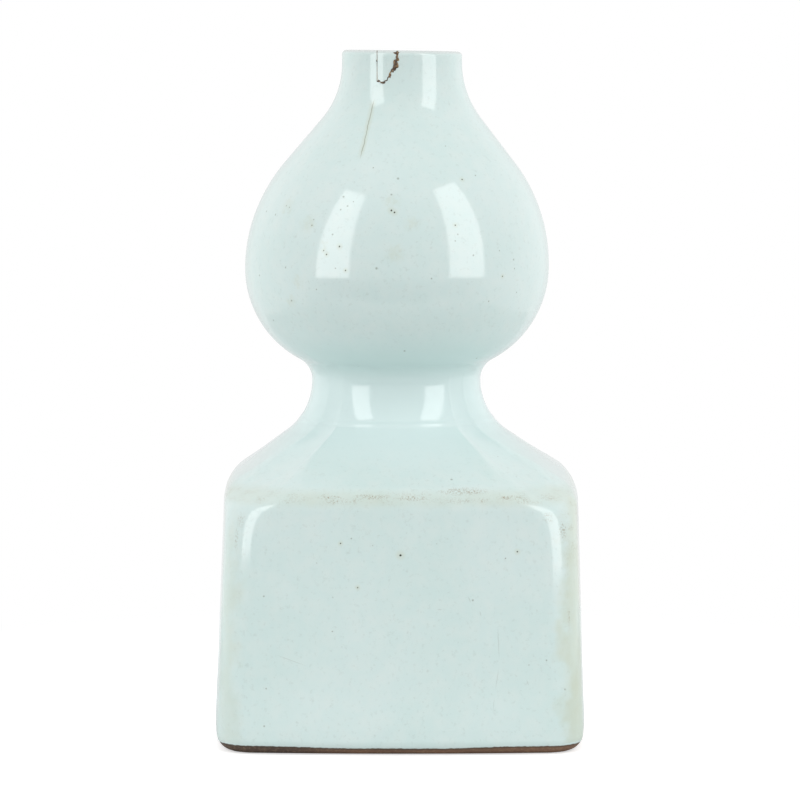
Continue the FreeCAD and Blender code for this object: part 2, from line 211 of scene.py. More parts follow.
@dataclass(frozen=True)
class GourdForm:
    """Driving sizes of the vase, as in the part's source, and the lines of its outer and inner skins."""

    vase_height: float = 320.0
    neck_radius: float = 28.2
    neck_wall: float = 4.4
    neck_straight: float = 6.0
    bore_length: float = 15.0
    bulb_radius: float = 71.5
    bulb_drop: float = 102.0
    bulb_lower_round: float = 49.0
    thrown_wall: float = 5.0
    crease_round: float = 11.0
    waist_radius: float = 39.7
    shoulder_wall: float = 6.0
    shoulder_drop: float = 54.3
    body_top_half: float = 83.1
    body_corner: float = 18.0
    slab_wall: float = 7.0
    body_spread: float = 3.7
    base_thickness: float = 6.5
    foot_height: float = 5.0
    foot_round: float = 7.0
    foot_width: float = 16.5
    recess_corner: float = 6.0
    neck_pair: tuple[float, float] = (0.325, 0.612)
    waist_pair: tuple[float, float] = (0.542, 0.26)
    neck_seam: float = 0.86
    waist_seam: float = 0.725
    side_turn: float = math.radians(4.5)
    round_turn: float = math.radians(20.0)

    @staticmethod
    def room(across: float, drop: float) -> float:
        """Sum of the radii at which a hollow arc and a full arc meet with no straight slope between them."""
        return (across**2 + drop**2) / (2 * across)

    @staticmethod
    def slope_angle(upper: tuple[float, float], lower: tuple[float, float], radii: float) -> float:
        """Angle above level of the normal of the slope between a hollow arc and the full arc below it."""
        across, rise = upper[0] - lower[0], upper[1] - lower[1]
        return math.atan2(rise, across) - math.acos(radii / math.hypot(across, rise))

    @cached_property
    def lip(self) -> float:
        """Radius of the half-round lip."""
        return self.neck_wall / 2

    @cached_property
    def bore(self) -> float:
        """Radius of the mouth."""
        return self.neck_radius - self.neck_wall

    @cached_property
    def bulb_height(self) -> float:
        """Height at which the bulb is widest."""
        return self.vase_height - self.bulb_drop

    @cached_property
    def neck_radii(self) -> tuple[float, float]:
        """Radii of the neck's flare and of the bulb's upper round."""
        room = self.room(self.bulb_radius - self.neck_radius, self.bulb_drop - self.neck_straight)
        return room * self.neck_pair[0], room * self.neck_pair[1]

    @cached_property
    def neck_centres(self) -> tuple[tuple[float, float], tuple[float, float]]:
        """Centres of those two rounds.

        Returns:
            Both centres (across, height).
        """
        flare, upper = self.neck_radii
        return ((self.neck_radius + flare, self.vase_height - self.neck_straight),
                (self.bulb_radius - upper, self.bulb_height))

    @cached_property
    def neck_angle(self) -> float:
        """Angle of the slope under the neck."""
        return self.slope_angle(*self.neck_centres, sum(self.neck_radii))

    @cached_property
    def crease_turn(self) -> float:
        """Turn of the bulb's lower round down to the crease."""
        reach = self.bulb_lower_round + self.crease_round
        return math.acos(1 - (self.bulb_radius - self.waist_radius) / reach)

    @cached_property
    def waist_height(self) -> float:
        """Height at which the waist is narrowest."""
        return self.bulb_height - (self.bulb_lower_round + self.crease_round) * math.sin(self.crease_turn)

    @cached_property
    def waist_radii(self) -> tuple[float, float]:
        """Radii of the waist's flare and of the body's ridge."""
        room = self.room(self.body_top_half - self.waist_radius, self.shoulder_drop)
        return room * self.waist_pair[0], room * self.waist_pair[1]

    @cached_property
    def body_top(self) -> float:
        """Height of the top of the wall slabs."""
        return self.waist_height - self.shoulder_drop

    @cached_property
    def waist_centres(self) -> tuple[tuple[float, float], tuple[float, float]]:
        """Centres of those two rounds."""
        flare, ridge = self.waist_radii
        return (self.waist_radius + flare, self.waist_height), (self.body_top_half - ridge, self.body_top)

    @cached_property
    def dome_angle(self) -> float:
        """Angle of the slope of the shoulder."""
        return self.slope_angle(*self.waist_centres, sum(self.waist_radii))

    @cached_property
    def body_half(self) -> float:
        """Half-width of the foot of the walls."""
        return self.body_top_half + self.body_spread

    @cached_property
    def wall_base(self) -> float:
        """Height of the underside of the wall slabs."""
        return self.foot_height + self.base_thickness

    @property
    def round_plan(self) -> Plan:
        """Plan of the thrown pieces."""
        return Plan((0.0, 0.0, self.round_turn), (1.0, 1.0, self.round_turn))

    def wall_plan(self, depth: float = 0.0) -> Plan:
        """Plan of the walls at a depth under their outer skin."""
        corner, turn = self.body_corner - depth, self.side_turn
        return Plan((self.body_top_half - depth, corner, turn), (self.body_half - depth, corner, turn))

    def inset_plan(self, half: float, corner: float) -> Plan:
        """Plan of levels set in evenly from the one with that half-width and corner radius."""
        return Plan((half - 1, corner - 1, self.side_turn), (half, corner, self.side_turn))

    def hollow(self, centre: tuple[float, float], radius: float, start: float, end: float) -> Arc:
        """Arc that is hollow seen from outside, by the angles of its outward normal above level."""
        return Arc(centre, radius, math.pi + start, math.pi + end)

    def neck_outer(self) -> list[tuple[Union[Arc, Line], int]]:
        """Outer line of the neck, from the top of the lip down to the seam.

        Returns:
            Each line with its number of rows.
        """
        top = self.vase_height - self.lip
        flare, centre = self.neck_radii[0], self.neck_centres[0]
        return [(Arc((self.neck_radius - self.lip, top), self.lip, math.pi / 2, 0.0), 8),
                (Line((self.neck_radius, top), (self.neck_radius, centre[1])), 3),
                (self.hollow(centre, flare, 0.0, self.neck_angle * self.neck_seam), 18)]

    def neck_inner(self) -> list[tuple[Union[Arc, Line], int]]:
        """Inner line of the neck, from the seam up to the top of the lip.

        Returns:
            Each line with its number of rows.
        """
        top = self.vase_height - self.lip
        seam = self.seam_inner(self.neck_centres[0], self.neck_radii[0], self.neck_angle * self.neck_seam)
        end = (self.bore, top - self.bore_length)
        return [(Line(seam, end), 8), (Line(end, (self.bore, top)), 4),
                (Arc((self.neck_radius - self.lip, top), self.lip, math.pi, math.pi / 2), 8)]

    def seam_inner(self, centre: tuple[float, float], radius: float, angle: float) -> tuple[float, float]:
        """Where the level of a seam meets the inner skin of a hollow arc."""
        drop = radius * math.sin(angle)
        return centre[0] - math.sqrt((radius + self.thrown_wall) ** 2 - drop**2), centre[1] - drop


@dataclass(frozen=True)
class HandShape:
    """What the hand and the kiln did to the form: lean, a dipping rim, ripples, a luting ridge, softer corners."""

    # Centreline's shift to the right by height. It leans left at the waist and back to the right at the neck.
    lean_heights: tuple[float, ...] = (-10.0, 16.0, 60.0, 108.0, 142.0, 166.0, 218.0, 262.0, 300.0, 330.0)
    lean_shifts: tuple[float, ...] = (0.0, 0.0, 0.3, 0.55, -1.5, -1.75, -1.4, -0.3, 0.94, 0.94)
    # The rim dips to the right, in full at its top and not at all at the lower of these heights.
    rim_dip: float = 0.9
    rim_heights: tuple[float, float] = (285.0, 320.0)
    rim_half: float = GourdForm.neck_radius
    # Throwing ripples fade out over the foot and almost out at the lip, each between two heights.
    ripple: float = 0.11
    ripple_foot: tuple[float, float] = (14.0, 54.0)
    ripple_lip: tuple[float, float] = (319.0, 299.0)
    ripple_least: float = 0.2
    # The luting ridge wanders up and down a little. The skin is divided finely this far above and below it.
    lute_height: float = 147.4
    lute_rise: float = 0.22
    lute_half: float = 0.9
    lute_wander: float = 0.25
    lute_room: tuple[float, float] = (3.5, 4.5)
    # The body's corners are rounder by the ridge: from which radius to which, and at which height the most. It
    # dies away by this much below and above that height, from a peak that is blunt over the last few millimetres.
    corner_radii: tuple[float, float] = (GourdForm.body_corner, 39.5)
    corner_height: float = 121.0
    corner_spread: tuple[float, float] = (5.5, 12.0)
    corner_blunt: float = 3.0
    corner_half: float = GourdForm.body_top_half
    # The glaze ends in a small step on the outside of the foot, farther out than foot_inside.
    glaze_edge: float = 3.7
    glaze_step: float = 0.22
    step_blur: float = 0.12
    foot_inside: float = 76.0
    # Waves of the glaze's lower edge round the foot: how many, where they start, how high.
    edge_waves: tuple[tuple[int, float, float], ...] = ((4, -1.57, 0.45), (11, 2.1, 0.12))

    @cached_property
    def lean_slopes(self) -> np.ndarray:
        """Slopes of the lean at its heights, flat at its turning points so that it never overshoots.

        Returns:
            A slope for each height.
        """
        height, shift = np.array(self.lean_heights), np.array(self.lean_shifts)
        steps = np.diff(shift) / np.diff(height)
        slopes = np.zeros(len(height))
        for count in range(1, len(height) - 1):
            if steps[count - 1] * steps[count] > 0:
                slopes[count] = 2 * steps[count - 1] * steps[count] / (steps[count - 1] + steps[count])
        return slopes

    def lean(self, height: np.ndarray) -> np.ndarray:
        """Shift of the centreline at the given heights, through a smooth run of cubic pieces.

        Args:
            height: heights in millimetres.

        Returns:
            Shifts to the right in millimetres.
        """
        knots, shifts, slopes = np.array(self.lean_heights), np.array(self.lean_shifts), self.lean_slopes
        place = np.clip(np.searchsorted(knots, height) - 1, 0, len(knots) - 2)
        gap = knots[place + 1] - knots[place]
        share = np.clip((height - knots[place]) / gap, 0.0, 1.0)
        start, end = shifts[place], shifts[place + 1]
        first, last = slopes[place] * gap, slopes[place + 1] * gap
        cube, square = share**3, share**2
        return ((2 * cube - 3 * square + 1) * start + (cube - 2 * square + share) * first
                + (3 * square - 2 * cube) * end + (cube - square) * last)

    def swell(self, points: np.ndarray) -> np.ndarray:
        """How far each point is pushed out from the axis.

        Args:
            points: places on the drawn form, n x 3.

        Returns:
            Pushes outward in millimetres.
        """
        across, depth, height = points.T
        angle = np.arctan2(across, -depth)
        (low, low_end), (high, high_end) = self.ripple_foot, self.ripple_lip
        fade = (np.clip((height - low) / (low_end - low), 0.0, 1.0) ** 2
                * np.clip((high - height) / (high - high_end), self.ripple_least, 1.0))
        wave = (np.sin(2 * angle + height / 57.0 + 0.9) + 0.6 * np.sin(3 * angle - height / 34.0 + 0.3)
                + 0.4 * np.sin(5 * angle + height / 19.0 + 2.0))
        above = height - self.lute_height - self.lute_wander * np.sin(2 * angle + 1.0)
        ridge = self.lute_rise * np.exp(-((above / self.lute_half) ** 2))
        waves = sum(tall * np.sin(count * angle + start) for count, start, tall in self.edge_waves)
        outside = np.maximum(abs(across), abs(depth)) > self.foot_inside
        # The clip keeps the exponential within range. The step is none or full long before it.
        over = np.clip((height - (self.glaze_edge + waves)) / self.step_blur, -30, 30)
        step = self.glaze_step * outside / (1 + np.exp(over))
        return fade * self.ripple * wave + ridge - step - self.pressed(across, depth, height)

    def pressed(self, across: np.ndarray, depth: np.ndarray, height: np.ndarray) -> np.ndarray:
        """How far each point is pressed in where the ridge goes over into the corners of the body.

        Args:
            across: places to the right of the axis.
            depth: places behind it.
            height: heights.

        Returns:
            Distances inward in millimetres.
        """
        over = height - self.corner_height
        away = np.hypot(over, self.corner_blunt) - self.corner_blunt
        share = np.exp(-away / np.where(over < 0, *self.corner_spread))
        sharp, soft = self.corner_radii
        turn = np.arctan2(np.minimum(abs(across), abs(depth)), np.maximum(abs(across), abs(depth)))
        return self.reach(turn, np.full_like(turn, sharp)) - self.reach(turn, sharp + (soft - sharp) * share)

    def reach(self, turn: np.ndarray, radius: np.ndarray) -> np.ndarray:
        """Distance from the axis to a square with rounded corners, by the turn from the middle of its side.

        Args:
            turn: turns in radians.
            radius: corner radii.

        Returns:
            Distances in millimetres.
        """
        middle = self.corner_half - radius
        inside = np.maximum(radius**2 - middle**2 * (np.cos(turn) - np.sin(turn)) ** 2, 0.0)
        round_part = middle * (np.sin(turn) + np.cos(turn)) + np.sqrt(inside)
        return np.where(self.corner_half * np.tan(turn) <= middle, self.corner_half / np.cos(turn), round_part)

    def move(self, points: np.ndarray) -> np.ndarray:
        """Moves points of the drawn form to where they are on the vase.

        Args:
            points: places on the drawn form, n x 3.

        Returns:
            Places on the vase, n x 3.
        """
        radius = np.hypot(points[:, 0], points[:, 1])
        push = self.swell(points) / np.maximum(radius, 1.0)
        moved = points.copy()
        moved[:, 0] += points[:, 0] * push + self.lean(points[:, 2])
        moved[:, 1] += points[:, 1] * push
        low, top = self.rim_heights
        near_rim = np.clip((points[:, 2] - low) / (top - low), 0.0, 1.0) ** 2
        rightward = np.clip((points[:, 0] + self.rim_half) / (2 * self.rim_half), 0.0, 1.0)
        moved[:, 2] -= self.rim_dip * near_rim * rightward
        return moved

    def shape(self, points: np.ndarray, normals: np.ndarray) -> tuple[np.ndarray, np.ndarray]:
        """Moves points and turns their normals with the surface.

        Args:
            points: places on the drawn form, n x 3.
            normals: their unit normals, n x 3.

        Returns:
            Moved points and turned unit normals.
        """
        reach = 0.01
        rates = []
        for axis in range(3):
            step = np.zeros(3)
            step[axis] = reach
            rates.append((self.move(points + step) - self.move(points - step)) / (2 * reach))
        spread = np.linalg.inv(np.stack(rates, axis=1))
        turned = np.einsum("nij,nj->ni", spread, normals)
        return self.move(points), turned / np.linalg.norm(turned, axis=1, keepdims=True)


# Mesh building


@dataclass
class Skin:
    """Points, faces and corner normals of one piece, before it becomes a mesh."""

    points: np.ndarray
    faces: list[tuple[int, ...]]
    normals: np.ndarray

    @classmethod
    def wrap(cls, stretches: Sequence[Stretch], columns: Columns, lids: bool = False) -> "Skin":
        """Wraps a closed profile round the vase.

        Args:
            stretches: the profile, down the outside and up the inside.
            columns: how the skin is divided across.
            lids: close the first and last rows with flat lids instead of joining them.

        Returns:
            A closed skin. Where the columns don't go all the way round, both ends are closed too.
        """
        rows, upper, lower = [], [], []
        for stretch in stretches:
            points, normals = cls._lay(stretch, columns)
            rows.append(points[:-1])
            upper.append(normals[:-1])
            lower.append(normals[1:])
        if lids:
            rows.append(points[-1:])
        points = np.concatenate(rows)
        above, below = np.concatenate(upper), np.concatenate(lower)
        levels, width = points.shape[:2]
        index = np.arange(levels * width).reshape(levels, width)
        span = np.arange(width if columns.closed else width - 1)
        row = np.arange(len(above))[:, None]
        under, right = (row + 1) % levels, (span + 1) % width
        quads = np.stack([index[row, span], index[under, span], index[under, right], index[row, right]], axis=-1)
        corners = np.stack([above[row, span], below[row, span], below[row, right], above[row, right]], axis=2)
        faces = [tuple(face) for face in quads.reshape(-1, 4).tolist()]
        loops = [corners.reshape(-1, 3)]
        points = points.reshape(-1, 3)
        ends: list[tuple[int, ...]] = []
        if lids:
            ends += [tuple(index[0].tolist()), tuple(index[-1].tolist()[::-1])]
        if not columns.closed:
            ends += cls._ends(index)
        for face in ends:
            faces.append(face)
            loops.append(np.tile(cls.flat(points[list(face)]), (len(face), 1)))
        return cls(points, faces, np.concatenate(loops))

    @staticmethod
    def _lay(stretch: Stretch, columns: Columns) -> tuple[np.ndarray, np.ndarray]:
        """Points and normals of one stretch, both rows x columns x 3.

        Args:
            stretch: part of the profile.
            columns: how the skin is divided across.

        Returns:
            Points and unit normals.
        """
        reach = 1e-4
        shares = np.linspace(0.0, 1.0, stretch.rows + 1)
        placed = []
        for share in (shares, shares - reach, shares + reach):
            half, height = stretch.line.at(share)
            flat, out = columns.level(half, stretch.plan)
            tall = np.broadcast_to(height[:, None, None], flat.shape[:2] + (1,))
            placed.append((np.concatenate([flat, tall], axis=-1), out))
        points, out = placed[0]
        way = placed[2][0] - placed[1][0]
        outward = (way[..., :2] * out).sum(axis=-1, keepdims=True)
        normals = np.concatenate([-way[..., 2:] * out, outward], axis=-1)
        return points, normals / np.linalg.norm(normals, axis=-1, keepdims=True)

    @staticmethod
    def _ends(index: np.ndarray) -> list[tuple[int, ...]]:
        """Faces that close the first and last columns, between rows that face each other across the clay.

        Args:
            index: number of each point, rows x columns.

        Returns:
            The faces, by the numbers of their points.
        """
        levels = len(index)
        faces = []
        for upper in range(levels // 2 - 1):
            lower, behind_lower, behind_upper = upper + 1, levels - 2 - upper, levels - 1 - upper
            first, last = index[:, 0].tolist(), index[:, -1].tolist()
            faces.append((first[upper], first[behind_upper], first[behind_lower], first[lower]))
            faces.append((last[upper], last[lower], last[behind_lower], last[behind_upper]))
        return faces

    @staticmethod
    def flat(corners: np.ndarray) -> np.ndarray:
        """Normal of a flat face.

        Args:
            corners: its corners, n x 3.

        Returns:
            The unit normal.
        """
        following = np.roll(corners, -1, axis=0)
        normal = np.cross(corners, following).sum(axis=0)
        return normal / np.linalg.norm(normal)

    def moved(self, hand: HandShape) -> "Skin":
        """The same skin as it is on the vase.

        Args:
            hand: what the hand and the kiln did.

        Returns:
            A new skin with the same faces.
        """
        order = np.concatenate([np.array(face) for face in self.faces])
        _, turned = hand.shape(self.points[order], self.normals)
        return Skin(hand.move(self.points), self.faces, turned)

    def mesh(self, name: str) -> bpy.types.Mesh:
        """Mesh of the skin, in metres, with its corner normals.

        Args:
            name: name of the mesh.

        Returns:
            The mesh.
        """
        mesh = bpy.data.meshes.new(name)
        mesh.from_pydata((self.points * MM).tolist(), [], self.faces)
        mesh.shade_smooth()
        mesh.normals_split_custom_set(self.normals.tolist())
        return mesh


def place(name: str, mesh: bpy.types.Mesh) -> bpy.types.Object:
    """Puts a mesh into the scene under a name.

    Args:
        name: name of the object.
        mesh: its mesh.

    Returns:
        The object.
    """
    piece = bpy.data.objects.new(name, mesh)
    bpy.context.scene.collection.objects.link(piece)
    return piece


class Keep(Enum):
    """What is kept of two closed meshes that run into each other."""

    SHARED = "INTERSECT"
    REST = "DIFFERENCE"
    BOTH = "UNION"


def carve(name: str, base: bpy.types.Mesh, tool: bpy.types.Mesh, keep: Keep) -> bpy.types.Mesh:
    """Cuts one closed mesh with another.

    Args:
        name: name of the new mesh.
        base: mesh that is cut.
        tool: mesh that cuts it.
        keep: what is kept.

    Returns:
        The new mesh.
    """
    kept, cutter = place(name + "_base", base), place(name + "_tool", tool)
    cut = kept.modifiers.new("cut", "BOOLEAN")
    cut.object, cut.operation, cut.solver, cut.use_self = cutter, keep.value, "EXACT", keep is Keep.BOTH
    mesh = bpy.data.meshes.new_from_object(kept.evaluated_get(bpy.context.evaluated_depsgraph_get()))
    mesh.name = name
    for item in (kept, cutter):
        bpy.data.objects.remove(item)
    return mesh


def corners_of(mesh: bpy.types.Mesh) -> tuple[np.ndarray, list[tuple[int, ...]]]:
    """Points of a mesh in millimetres, and its faces.

    Args:
        mesh: the mesh.

    Returns:
        Points, n x 3, and the corners of each face by number.
    """
    points = np.zeros(len(mesh.vertices) * 3)
    mesh.vertices.foreach_get("co", points)
    return points.reshape(-1, 3) / MM, [tuple(face.vertices) for face in mesh.polygons]


# The pieces of the vase


@dataclass(frozen=True)
class Part:
    """What every sub-assembly needs: the form and what the hand did to it."""

    form: GourdForm
    hand: HandShape

    def hang(self, name: str, mesh: bpy.types.Mesh, slot: str, finish: bpy.types.Material) -> None:
        """Puts a finished piece in the place of its node.

        Args:
            name: name of the node that it stands for.
            mesh: the piece's mesh, in metres.
            slot: material slot of the record. Not used.
            finish: its material.
        """
        mesh.materials.clear()
        mesh.materials.append(finish)
        piece = place(name + "_piece", mesh)
        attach(piece, "root")
        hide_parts(name)
        LOG.info("%s: %d faces", piece.name, len(mesh.polygons))


@dataclass(frozen=True)
class MendedNeck(Part):
    """The thrown neck ring, the shard that broke out of its rim and the brown glue that holds it."""

    shard_left: float = 11.5
    shard_width: float = 8.9
    shard_depth: float = 14.6
    glue_left: float = 0.25
    glue_below: float = 0.5
    glue_right: float = 0.9
    edge_shares: tuple[tuple[float, float], ...] = (
        (0.0, 0.96), (0.28, 1.0), (0.5, 0.93), (0.66, 0.67), (0.92, 0.43), (1.0, 0.2))
    overrun: float = 5.0
    glue_proud: float = 0.07
    bead_sunk: float = 0.4
    # Beads that were squeezed out: across, height, half-width, half-height, how far proud.
    beads: tuple[tuple[float, float, float, float, float], ...] = (
        (-2.9, 313.1, 1.5, 2.7, 0.5), (-2.2, 316.4, 1.0, 1.6, 0.4), (-2.5, 318.8, 1.4, 0.8, 0.3),
        (-4.3, 310.7, 0.8, 1.3, 0.35), (-5.5, 308.2, 0.7, 1.2, 0.3), (-8.3, 305.0, 1.6, 0.5, 0.25),
        (-10.7, 305.9, 0.7, 0.5, 0.2), (-11.6, 315.3, 0.4, 0.6, 0.2))

    def outline(self, loose: float) -> list[tuple[float, float]]:
        """Broken edge, a little uneven, from its lowest left point round to the rim.

        Args:
            loose: 0 for the shard's own edge, 1 for the edge of the place that it broke out of.

        Returns:
            Points (across, height) in millimetres.
        """
        points = []
        steps = 4
        for (left, high), (right, low) in zip(self.edge_shares, self.edge_shares[1:]):
            for step in range(steps):
                share = step / steps
                points.append((left + (right - left) * share, high + (low - high) * share))
        points.append(self.edge_shares[-1])
        placed = []
        for count, (across, down) in enumerate(points):
            spread = loose * (self.glue_right * across - self.glue_left * (1 - across))
            jag = 0.1 * math.sin(2.7 * count) + 0.06 * math.sin(5.9 * count + 1.0)
            placed.append((self.shard_width * across - self.shard_left + spread + jag,
                           self.form.vase_height - self.shard_depth * down - loose * self.glue_below * down - jag))
        return placed

    def prism(self, name: str, loose: float) -> bpy.types.Mesh:
        """Block from the axis out through the front of the neck that holds the broken place.

        Args:
            name: name of the mesh.
            loose: as for the outline.

        Returns:
            The mesh of the block.
        """
        edge = self.outline(loose)
        top = self.form.vase_height + self.overrun
        edge = [(edge[0][0], top)] + edge + [(edge[-1][0], top)]
        reach = self.form.neck_radius + self.overrun
        points = np.array([(x, 0.0, z) for x, z in edge] + [(x, -reach, z) for x, z in edge])
        count = len(edge)
        faces = [tuple(range(count))[::-1], tuple(range(count, 2 * count))]
        faces += [(i, (i + 1) % count, count + (i + 1) % count, count + i) for i in range(count)]
        mesh = bpy.data.meshes.new(name)
        mesh.from_pydata((points * MM).tolist(), [], faces)
        return mesh

    def blank(self, name: str, grown: float = 0.0) -> bpy.types.Mesh:
        """The neck as it was thrown, or grown by a little all over.

        Args:
            name: name of the mesh.
            grown: how far it is grown, in millimetres.

        Returns:
            The closed mesh.
        """
        outer, inner = self.form.neck_outer(), self.form.neck_inner()
        plan = self.form.round_plan
        seam_outer = tuple(float(item) for item in outer[-1][0].at(1.0))
        seam_inner = tuple(float(item) for item in inner[0][0].at(0.0))
        lines = outer + [(Line(seam_outer, seam_inner), 1)] + inner
        skin = Skin.wrap([Stretch(line, plan, rows) for line, rows in lines], Columns())
        if grown:
            push = np.zeros_like(skin.points)
            order = np.concatenate([np.array(face) for face in skin.faces])
            np.add.at(push, order, skin.normals)
            skin.points += grown * push / np.linalg.norm(push, axis=1, keepdims=True)
        mesh = bpy.data.meshes.new(name)
        mesh.from_pydata((skin.points * MM).tolist(), [], skin.faces)
        return mesh

    def fired(self, mesh: bpy.types.Mesh) -> bpy.types.Mesh:
        """Gives a carved mesh the smooth normals of the thrown form, and bends it as the vase is bent.

        Args:
            mesh: the carved mesh.

        Returns:
            The finished mesh, under the same name.
        """
        # Steps along each line, points looked up at a time, and how near to the skin a face's corners lie and how
        # squarely it faces out where it is part of the skin. Any other face is a broken edge, and stays flat.
        steps, batch, near, square = 400, 2000, 0.05, 0.8
        samples = []
        for line, _ in self.form.neck_outer() + self.form.neck_inner():
            share = np.linspace(0.0, 1.0, steps)
            placed, ahead, behind = (line.at(share + step) for step in (0.0, 1e-4, -1e-4))
            way = np.stack([ahead[0] - behind[0], ahead[1] - behind[1]], axis=1)
            way /= np.linalg.norm(way, axis=1, keepdims=True)
            samples.append(np.stack([placed[0], placed[1], -way[:, 1], way[:, 0]], axis=1))
        samples = np.concatenate(samples)
        points, faces = corners_of(mesh)
        radius = np.hypot(points[:, 0], points[:, 1])
        normals, gaps = np.zeros_like(points), np.zeros(len(points))
        for start in range(0, len(points), batch):
            part = slice(start, start + batch)
            apart = (radius[part, None] - samples[:, 0]) ** 2 + (points[part, 2, None] - samples[:, 1]) ** 2
            nearest = apart.argmin(axis=1)
            gaps[part] = np.sqrt(apart.min(axis=1))
            out = points[part, :2] / radius[part, None]
            normals[part] = np.concatenate([out * samples[nearest, 2, None], samples[nearest, 3, None]], axis=1)
        corner_normals = []
        for face in faces:
            corners = list(face)
            flat = Skin.flat(points[corners])
            smooth = gaps[corners].max() < near and (normals[corners] @ flat).min() > square
            corner_normals.append(normals[corners] if smooth else np.tile(flat, (len(corners), 1)))
        return Skin(points, faces, np.concatenate(corner_normals)).moved(self.hand).mesh(mesh.name)

    def bead_mesh(self) -> bpy.types.Mesh:
        """The beads of glue, as rounded lumps on the outside of the neck.

        Returns:
            One mesh with all the beads.
        """
        shape = bmesh.new()
        form = self.form
        centre, flare = form.neck_centres[0], form.neck_radii[0]
        for count, (across, height, wide, tall, proud) in enumerate(self.beads):
            drop = max(centre[1] - height, 0.0)
            radius = centre[0] - math.sqrt(flare**2 - drop**2)
            rise = max(height - form.vase_height + form.lip, 0.0)
            radius -= form.lip - math.sqrt(max(form.lip**2 - rise**2, 0.0))
            made = bmesh.ops.create_icosphere(shape, subdivisions=3, radius=1.0)["verts"]
            out = -math.sqrt(radius**2 - across**2)
            for vert in made:
                x, y, z = vert.co
                lump = 1 + 0.16 * math.sin(3 * x + 4 * z + count) + 0.1 * math.sin(5 * y - 3 * z + 2 * count)
                forward = out + (proud + self.bead_sunk) * lump * y + self.bead_sunk
                vert.co = ((across + wide * lump * x) * MM, forward * MM, (height + tall * lump * z) * MM)
        mesh = bpy.data.meshes.new("glue_beads")
        shape.to_mesh(mesh)
        shape.free()
        return mesh

    def build(self, glaze: bpy.types.Material, glue: bpy.types.Material) -> None:
        """Makes the neck ring, the shard and the glue.

        Args:
            glaze: finish of the ring and the shard.
            glue: finish of the glue.
        """
        ring = carve("neck_ring", self.blank("neck_blank"), self.prism("notch", 1.0), Keep.REST)
        shard = carve("rim_shard", self.blank("shard_blank"), self.prism("shard", 0.0), Keep.SHARED)
        coated = self.blank("glue_blank", self.glue_proud)
        gap = carve("glue_gap", coated, self.prism("glue_notch", 1.0), Keep.SHARED)
        gap = carve("glue_line", gap, self.prism("glue_shard", 0.0), Keep.REST)
        gap = carve("shard_glue", gap, self.bead_mesh(), Keep.BOTH)
        points, _ = corners_of(gap)
        gap.vertices.foreach_set("co", (self.hand.move(points) * MM).ravel())
        gap.shade_smooth()
        gap.set_sharp_from_angle(angle=math.radians(55))
        self.hang("neck_ring", self.fired(ring), "celadon_glaze", glaze)
        self.hang("rim_shard", self.fired(shard), "celadon_glaze", glaze)
        self.hang("shard_glue", gap, "brown_glue", glue)


